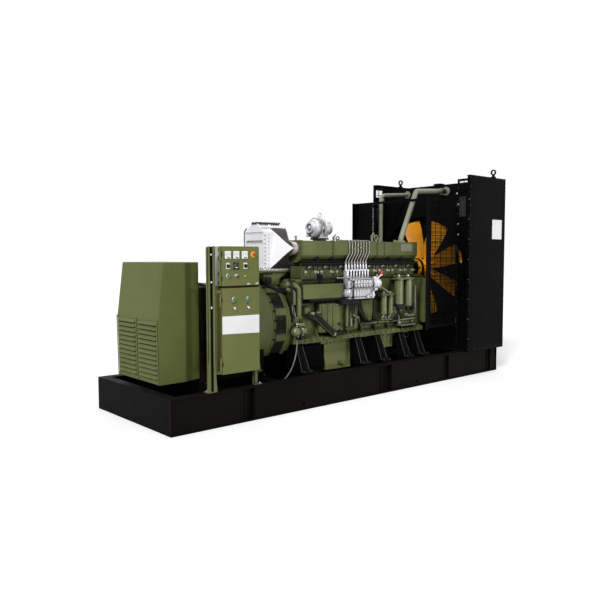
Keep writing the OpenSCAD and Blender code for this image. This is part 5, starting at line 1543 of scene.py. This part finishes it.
def makeStand():
    bm, bolts, dark = meshes(3)
    x0, x1, y0, y1, floor, top, (a, b) = stand.values()
    # two lips with the slot between them, web behind, side walls; the outer lip's top corner is rounded off
    addAll(addPlate, bm, ([(0, 0), (24, 0), (24, 1310), (16, 1310), (6, 1304), (0, 1292)],
        (x0, y0 + 6, floor), 6, 1.2), ([(0, 0), (24, 0), (24, 1310), (0, 1310)], (x1 - 24, y0 + 6, floor),
        6, 1.2))
    addBlocks(bm, (x0, y0, floor, x0 + 5, y1, top - 14, 1.2), (x1 - 5, y0, floor, x1, y1, top, 1.2))
    # painted shade: a dark strip at the back of the slot
    addBlock(dark, (x0 + 5, y1 - 9, floor), (x1 - 5, y1 - 4, top - 4), 1)
    # flared foot with gussets
    addBlock(bm, (x0 - 16, y0 - 2, floor), (x1 + 14, -650, floor + 10), 2)
    addAll(addPlate, bm, ([(-20, 6), (4, 6), (4, 290), (-3, 260), (-16, 60)], (x0, y0 + 4, floor), 5, 1),
           ([(-4, 6), (12, 6), (10, 40), (0, 190), (-4, 200)], (x1, y0 + 4, floor), 5, 1))
    addBolts(bolts, up, 16, (x0 + 4, y0 + 44, floor + 10), (x1 - 6, y0 + 44, floor + 10))
    for z in (1561, 1316, 1090):
        addBolt(bolts, (-2070, y0 + 2, z), near, 12)
        addLathe(dark, [(0, 9), (1.6, 9), (1.6, 0)], (-2070, y0 + 2, z + 40), near, 14)
    # arms stay behind the cabinets' front plane; painted shade: a dark strip in the gap between the two boxes
    addBlocks(bm, *[(x1 - 2, -693, z, -1944, -668, z + 26, 2) for z in (478, 1214)])
    addBlock(dark, (-1938, -698, 1260), (-1527, -640, 1273), 1)
    # right leg: angle section with its foot, plus the slanting strut by the cabinet
    addBlocks(bm, (a, -671, floor, a + 7, -637, 470, 1.2), (a, -671, floor, b, -665, 470, 1.2),
              (a - 6, -690, floor, b + 50, -640, floor + 7, 1.5))
    addBolt(bolts, (b + 26, -668, floor + 7), up, 16)
    addPlate(bm, [(0, 0), (12, 0), (-20, 178), (-32, 178)], (-1488, -655, 452), 6, 1)
    addBlock(bm, (-1530, -674, 448), (-1470, -640, 456), 1.5)
    finishAll("cabinet_green", ("standPost", bm, "engineGreen", "control_stand"),
        ("standBolts", bolts, "chrome"), ("standRecessShade", dark, "beltRubber"))


makeStand()

# instruments on the upper door; each is (x, z) on the door's face, which stands at y -700
doorFace = -700
upperPanel = {"meters": ((-1880, 1558), (-1786, 1558), (-1692, 1558)),
    "selectors": ((-1876, 1458), (-1680, 1458)), "stop": (-1592, 1562), "gauge": (-1787, 1457),
    "lamp": (-1877, 1367), "key": (-1777, 1366), "amber": (-1687, 1364),
    "latches": ((-1646, 1290), (-1549, 1290))}
squareRim = [(0, 22), (5, 22), (7, 20), (7, 16)]


def facePlate(bm, x, z, w, h, depth, r=4, edge=1.5, lift=0.0):
    addPlate(bm, roundedOutline(w, h, r), (x, doorFace - lift, z), depth, edge)


def faceKnob(bm, x, z, profile, sides, lift=0.0):
    addLathe(bm, profile, (x, doorFace - lift, z), near, sides)


def faceBar(bm, x, z, lift, outline, lean, thick, edge):
    # a flat bar on the door, its outline turned so that its first axis runs along lean
    c, s = lean
    addPrism(bm, outline, (x, doorFace - lift, z), (c, 0, s), (-s, 0, c), thick, edge)


def boxOutline(w, low, high):
    return [(-w, low), (w, low), (w, high), (-w, high)]


def makeInstruments():
    white, black, chrome, yellow, red, green, amber = meshes(7)
    meters, selectors, stop, (gx, gz), lamp, (kx, kz), amberAt, latches = upperPanel.values()
    for x, z in meters:
        facePlate(black, x, z, 72, 76, 5, 5)
        facePlate(white, x, z, 68, 72, 9, 5, 2)
        # dial: arc of graduations, pointer and a black foot
        for k in range(13):
            a = radians(38 + 104 * k / 12)
            c, d = cos(a), sin(a)
            faceBar(black, x + 34 * c, z - 22 + 34 * d, 9, boxOutline(0.5, 0, 3.5 if k % 3 else 6), (d, -c),
                0.7, 0.1)
        faceBar(black, x, z - 22, 9, [(-0.7, 0), (0.7, 0), (0.3, 32), (-0.3, 32)], (0.8, 0.6), 0.9, 0.1)
        facePlate(black, x + 8, z - 27, 34, 8, 1.1, 2, 0.3, 8.8)
        faceKnob(black, x, z - 22, [(0, 4), (1.8, 3.4), (1.8, 0)], 14, 8.8)
    faceKnob(yellow, *stop, [(0, 28), (6, 28), (8, 26.5), (8, 14)], 40)
    faceKnob(red, *stop, [(7, 9), (12, 9), (14, 16), (18, 18), (24, 18), (28, 14), (28, 0)], 36)
    for x, z in selectors:
        facePlate(white, x, z, 44, 56, 3, 4, 1)
        facePlate(black, x, z - 2, 34, 34, 7, 6, 1.2)
        faceKnob(black, x, z - 2, [(6, 14), (12, 13), (20, 12), (22, 10), (22, 0)], 28)
        faceBar(black, x, z - 2, 12, boxOutline(4, -14, 14), (0.9, -0.44), 12, 2)
        faceKnob(black, x + 14, z + 22, [(0, 2.5), (0.8, 2.5), (0.8, 0)], 10, 3)
    facePlate(black, gx, gz, 62, 64, 7, 5, 2)
    faceKnob(black, gx, gz, [(6, 26), (9, 26), (9, 23), (7.4, 23), (7.4, 0)], 40)
    addBand(chrome, [(7, 26.4), (7, 27.4), (8.4, 27), (8.4, 26.4)], (gx, doorFace, gz), near, 40)
    facePlate(white, gx, gz - 13, 24, 8, 0.6, 1, 0.15, 7.4)
    for k in range(9):
        a = radians(-30 + 240 * k / 8)
        faceBar(white, gx + 17 * cos(a), gz + 17 * sin(a), 7.4, boxOutline(0.5, 0, 4), (sin(a), -cos(a)),
            0.6, 0.1)
    faceBar(white, gx, gz, 7.4, [(-0.8, -3), (0.8, -3), (0.3, 17), (-0.3, 17)], (0.7, 0.7), 0.8, 0.1)
    # green lamp in its rim, key switch turned off with its plate, and the amber lamp
    faceKnob(chrome, *lamp, squareRim, 32)
    faceKnob(green, *lamp, [(6, 19.5), (11, 19), (15, 14), (16, 8), (16, 0)], 28)
    faceKnob(chrome, kx - 6, kz + 4, [(0, 15), (6, 15), (8, 13), (13, 12), (13, 3), (10, 3), (10, 0)], 28)
    faceBar(black, kx + 2, kz - 6, 12, roundedOutline(13, 26, 5), (0.82, 0.57), 3, 0.8)
    faceBar(black, kx - 6, kz + 4, 8, roundedOutline(5, 10, 2), (0.82, 0.57), 14, 1)
    faceKnob(chrome, *amberAt, [(0, 12), (4, 12), (6, 10.5), (6, 9)], 28)
    faceKnob(amber, *amberAt, [(5, 10), (10, 9.5), (13, 7), (14, 0)], 24)
    for x, z in latches:
        facePlate(chrome, x, z, 34, 16, 5, 4, 1.5)
        faceKnob(chrome, x + 6, z, [(4, 7), (9, 6.4), (9, 0)], 20)
        faceBar(black, x + 6, z, 8.9, boxOutline(1, -4, 4), (1, 0), 0.8, 0.2)
    finishAll("instrument_plastic", ("panelMeters", white, "panelWhite", "control_instruments"),
        ("panelBezels", black, "bezelBlack"), ("panelRims", chrome, "chrome"),
        ("stopCollar", yellow, "plateYellow"), ("stopKnob", red, "knobRed"),
        ("runLamp", green, "lensGreen"), ("amberLamp", amber, "lensAmber"), body="upper_door")


def makeSwitches():
    chrome, green, black, plate = meshes(4)
    for x in (-1815, -1655):
        faceKnob(chrome, x, 1152, [(0, 22), (4, 22), (6, 20), (6, 17)], 32)
        faceKnob(green, x, 1152, [(5, 19), (11, 18.5), (15, 15), (16, 9), (16, 0)], 28)
        faceKnob(chrome, x, 1073, [(0, 15), (5, 15), (8, 13), (14, 12), (16, 10), (16, 0)], 28)
        faceBar(chrome, x + 3, 1068, 14, roundedOutline(10, 26, 4.5), (0.9, 0.42), 6, 1.5)
        facePlate(black, x, 1112, 30, 8, 1, 2, 0.3)
    # bare label plate, a little out of square as it was fitted
    addPlate(plate, [(-1943, 840), (-1525, 826), (-1525, 997), (-1943, 1001)], (0, doorFace, 0), 1.6, 0.5)
    finishAll("instrument_plastic", ("doorSwitches", chrome, "chrome", "power_switches"),
        ("doorLamps", green, "lensGreen"), ("doorMarks", black, "bezelBlack"),
        ("labelPlate", plate, "plateWhite"), body="lower_door")


makeInstruments()
makeSwitches()

# doors and boxes: lock cams, stiffeners and seals inside, rain lips, hinge leaves; breaker and relays behind
boxes = {"upper_door": (1275, 1635, (1345, 1565)), "lower_door": (468, 1258, (563, 1148))}
backs = ((-1592, 1562), (-1876, 1456), (-1680, 1456), (-1787, 1457), (-1877, 1367), (-1777, 1366),
    (-1687, 1364))


def makeDoors():
    for body, (low, high, hinges) in boxes.items():
        bm, seal, steel = meshes(3)
        addBlocks(bm, *[(x, -697.5, low + 30, x + 9, -684, high - 30, 1) for x in (-1925, -1549)],
                  *[(-1922, -697.5, z, -1543, -686, z + 8, 1) for z in (low + 24, high - 34)])
        loop = [(-1930, -681, low + 12), (-1535, -681, low + 12), (-1535, -681, high - 12),
            (-1930, -681, high - 12)]
        addTube(seal, fillet(loop + loop[:2], 8, 3)[:-1], 3.2, 8)
        # lock cam inside, hinge leaf outside with its screws
        middle = (low + high) / 2
        addBlock(steel, (-1552, -697, middle - 20), (-1536, -680, middle + 20), 2)
        for z in hinges:
            addBlock(steel, (-1953, -701.2, z - 19), (-1936, -698.6, z + 19), 0.8)
            for dz in (-11, 11):
                faceKnob(steel, -1942, z + dz, [(0, 3.4), (1.2, 2.6), (1.5, 0)], 10, 1)
        finishAll("cabinet_green", (body + "Stiffener", bm, "cabinetGreen"),
            (body + "Seal", seal, "hoseRubber"), (body + "Fittings", steel, "darkBolt"), body=body)
    # backs of the instruments, inside the upper door
    bm, = meshes(1)
    for x, z in upperPanel["meters"]:
        addRod(bm, (x, -690, z), (x, -640, z), 28, 24)
        for dx in (-10, 10):
            addRod(bm, (x + dx, -642, 1548), (x + dx, -630, 1548), 3, 8)
    for x, z in backs:
        addRod(bm, (x, -690, z), (x, -672, z), 15, 20)
        addBlock(bm, (x - 14, -674, z - 20), (x + 14, -638, z + 20), 3)
    finishPiece("instrumentBacks", bm, "bezelBlack", body="upper_door", slot="instrument_plastic")


def makeInside():
    grey, black, steel, wires, strip, lips = meshes(6)
    # upper box: mounting plate, rails with relays and terminals
    addBlocks(grey, *[(-1925, -492, low, -1540, -487, high, 1) for low, high in ((1290, 1620), (485, 1240))])
    addBlocks(steel, *[(-1915, -500, z - 17, -1550, -491, z + 17, 1.5) for z in (1345, 1440, 1540)])
    for x in range(-1900, -1564, 48):
        addBlock(black, (x, -560, 1404), (x + 38, -498, 1476), 3)
        addBlock(grey, (x + 4, -564, 1420), (x + 34, -559, 1460), 1.5)
    addBlocks(grey, *[(-1905 + 15.6 * k, -540, 1322, -1892 + 15.6 * k, -498, 1368, 1.5) for k in range(22)])
    for x in range(-1905, -1725, 36):
        addBlock(grey, (x, -566, 1500), (x + 33, -498, 1580), 2)
        addBlock(black, (x + 9, -574, 1530), (x + 24, -565, 1552), 1.5)
    addBlock(black, (-1700, -580, 1498), (-1590, -498, 1590), 5)
    for x in range(-1895, -1543, 32):
        addAll(addPipe, wires, ([(x, -545, 1370), (x, -552, 1392), (x + 8, -556, 1408)], 6, 2, 6, 3),
               ([(x, -545, 1322), (x, -560, 1306), (-1740, -548, 1300)], 8, 2, 6, 3))
    # lower box: breaker with its bars, cable glands in the floor
    addBlock(black, (-1850, -600, 760), (-1610, -491, 1060), 8)
    addBlock(grey, (-1830, -606, 800), (-1630, -598, 1020), 4)
    addBlock(black, (-1752, -636, 900), (-1708, -604, 946), 5)
    for x in (-1800, -1730, -1660):
        addBlocks(steel, (x - 16, -548, 640, x + 16, -540, 770, 1.5),
            (x - 16, -548, 1055, x + 16, -540, 1150, 1.5))
        addBolts(steel, near, 20, (x, -548, 668), (x, -548, 1125))
        addPipe(black, [(x, -556, 668), (x, -570, 600), (x, -570, 478)], 24, 11, 12, 5)
        addLathe(black, [(0, 22), (10, 22), (14, 15), (22, 13), (22, 0)], (x, -570, 473), up, 20)
    addBlocks(grey, *[(x, -540, 530, x + 18, -491, 580, 2) for x in range(-1900, -1636, 22)])
    finishAll("instrument_plastic", ("cabinetPlates", grey, "pipeGrey"),
        ("cabinetBreaker", black, "bezelBlack"), ("cabinetBars", steel, "zincBolt"),
        ("cabinetWires", wires, "knobRed"))
    # painted light: a pale strip down the upper box's hinge side, for the light on that side; drip lips and
    # side screws of both boxes
    addBlock(strip, (-1947.5, -673, 1278), (-1944, -600, 1632), 0.8)
    for low, high, hinges in boxes.values():
        for z, y in product((low + 25, high - 25), (-600, -540)):
            addLathe(lips, [(0, 5), (2, 4.4), (2.6, 0)], (-1520, y, z), ahead, 10)
        addBlock(lips, (-1946, -678, high - 2), (-1519, -672, high + 1.5), 0.7)
    finishAll("cabinet_green", ("hingeLightStrip", strip, "hingeLightGrey"), ("cabinetLips", lips, "cabinetGreen"))


makeDoors()
makeInside()
print("cabinets and stand made")

# studio: pale floor, one broad key from the left front, a fill from the right and a soft top
studio = {"floor": (0.79, 0.81), "floorLift": 0.30, "ambient": 0.34, "reach": 40000,
    "lamps": {"keyLamp": ((0.83, 0.42, -0.62), 2.15, 11), "fillLamp": ((-0.12, 0.97, -0.02), 0.75, 7),
    "topLamp": ((0.05, 0.10, -1.0), 0.9, 50)}}


def makeStudio():
    world = bpy.data.worlds.new("paleStudio")
    scene.world = world
    world.use_nodes = True
    tree = world.node_tree
    rays = addNode(tree, "LightPath").outputs
    # full strength for the camera, mirrors and glass, the ambient share for everything else
    seen = addNode(tree, "Math", {0: rays["Is Camera Ray"], 1: rays["Is Glossy Ray"]},
        operation="MAXIMUM").outputs[0]
    seen = addNode(tree, "Math", {0: seen, 1: rays["Is Transmission Ray"]}, operation="MAXIMUM").outputs[0]
    plug(tree, tree.nodes["Background"],
        {"Color": (1, 1, 1), "Strength": spread(tree, seen, 0.0, 1.0, studio["ambient"], 1.0)})
    for name, (towards, strength, angle) in studio["lamps"].items():
        data = bpy.data.lights.new(name, "SUN")
        data.energy, data.angle = strength, radians(angle)
        light = bpy.data.objects.new(name, data)
        light.rotation_mode = "QUATERNION"
        light.rotation_quaternion = Vector(towards).to_track_quat("-Z", "Y")
        scene.collection.objects.link(light)


def makeFloor():
    reach = studio["reach"] * scale
    mesh = bpy.data.meshes.new("studioFloor")
    mesh.from_pydata([(x * reach, y * reach, -0.001) for x, y in ((-1, -1), (1, -1), (1, 1), (-1, 1))], [],
        [(0, 1, 2, 3)])
    material, tree, shader, coords = startMaterial("paleFloor")
    tone = colourMix(tree, cloud(tree, coords, 0.8), *[(shade,) * 3 for shade in studio["floor"]])
    # the camera alone sees the floor lifted to white
    rays = addNode(tree, "LightPath").outputs
    plug(tree, shader, {"Base Color": tone, "Roughness": 0.8, "Specular IOR Level": 0.1,
        "Emission Color": (1, 1, 1), "Emission Strength": spread(tree, rays["Is Camera Ray"], 0.0, 1.0, 0.0,
        studio["floorLift"])})
    mesh.materials.append(material)
    floor = bpy.data.objects.new("studioFloor", mesh)
    scene.collection.objects.link(floor)


makeStudio()
makeFloor()
print("studio lit")
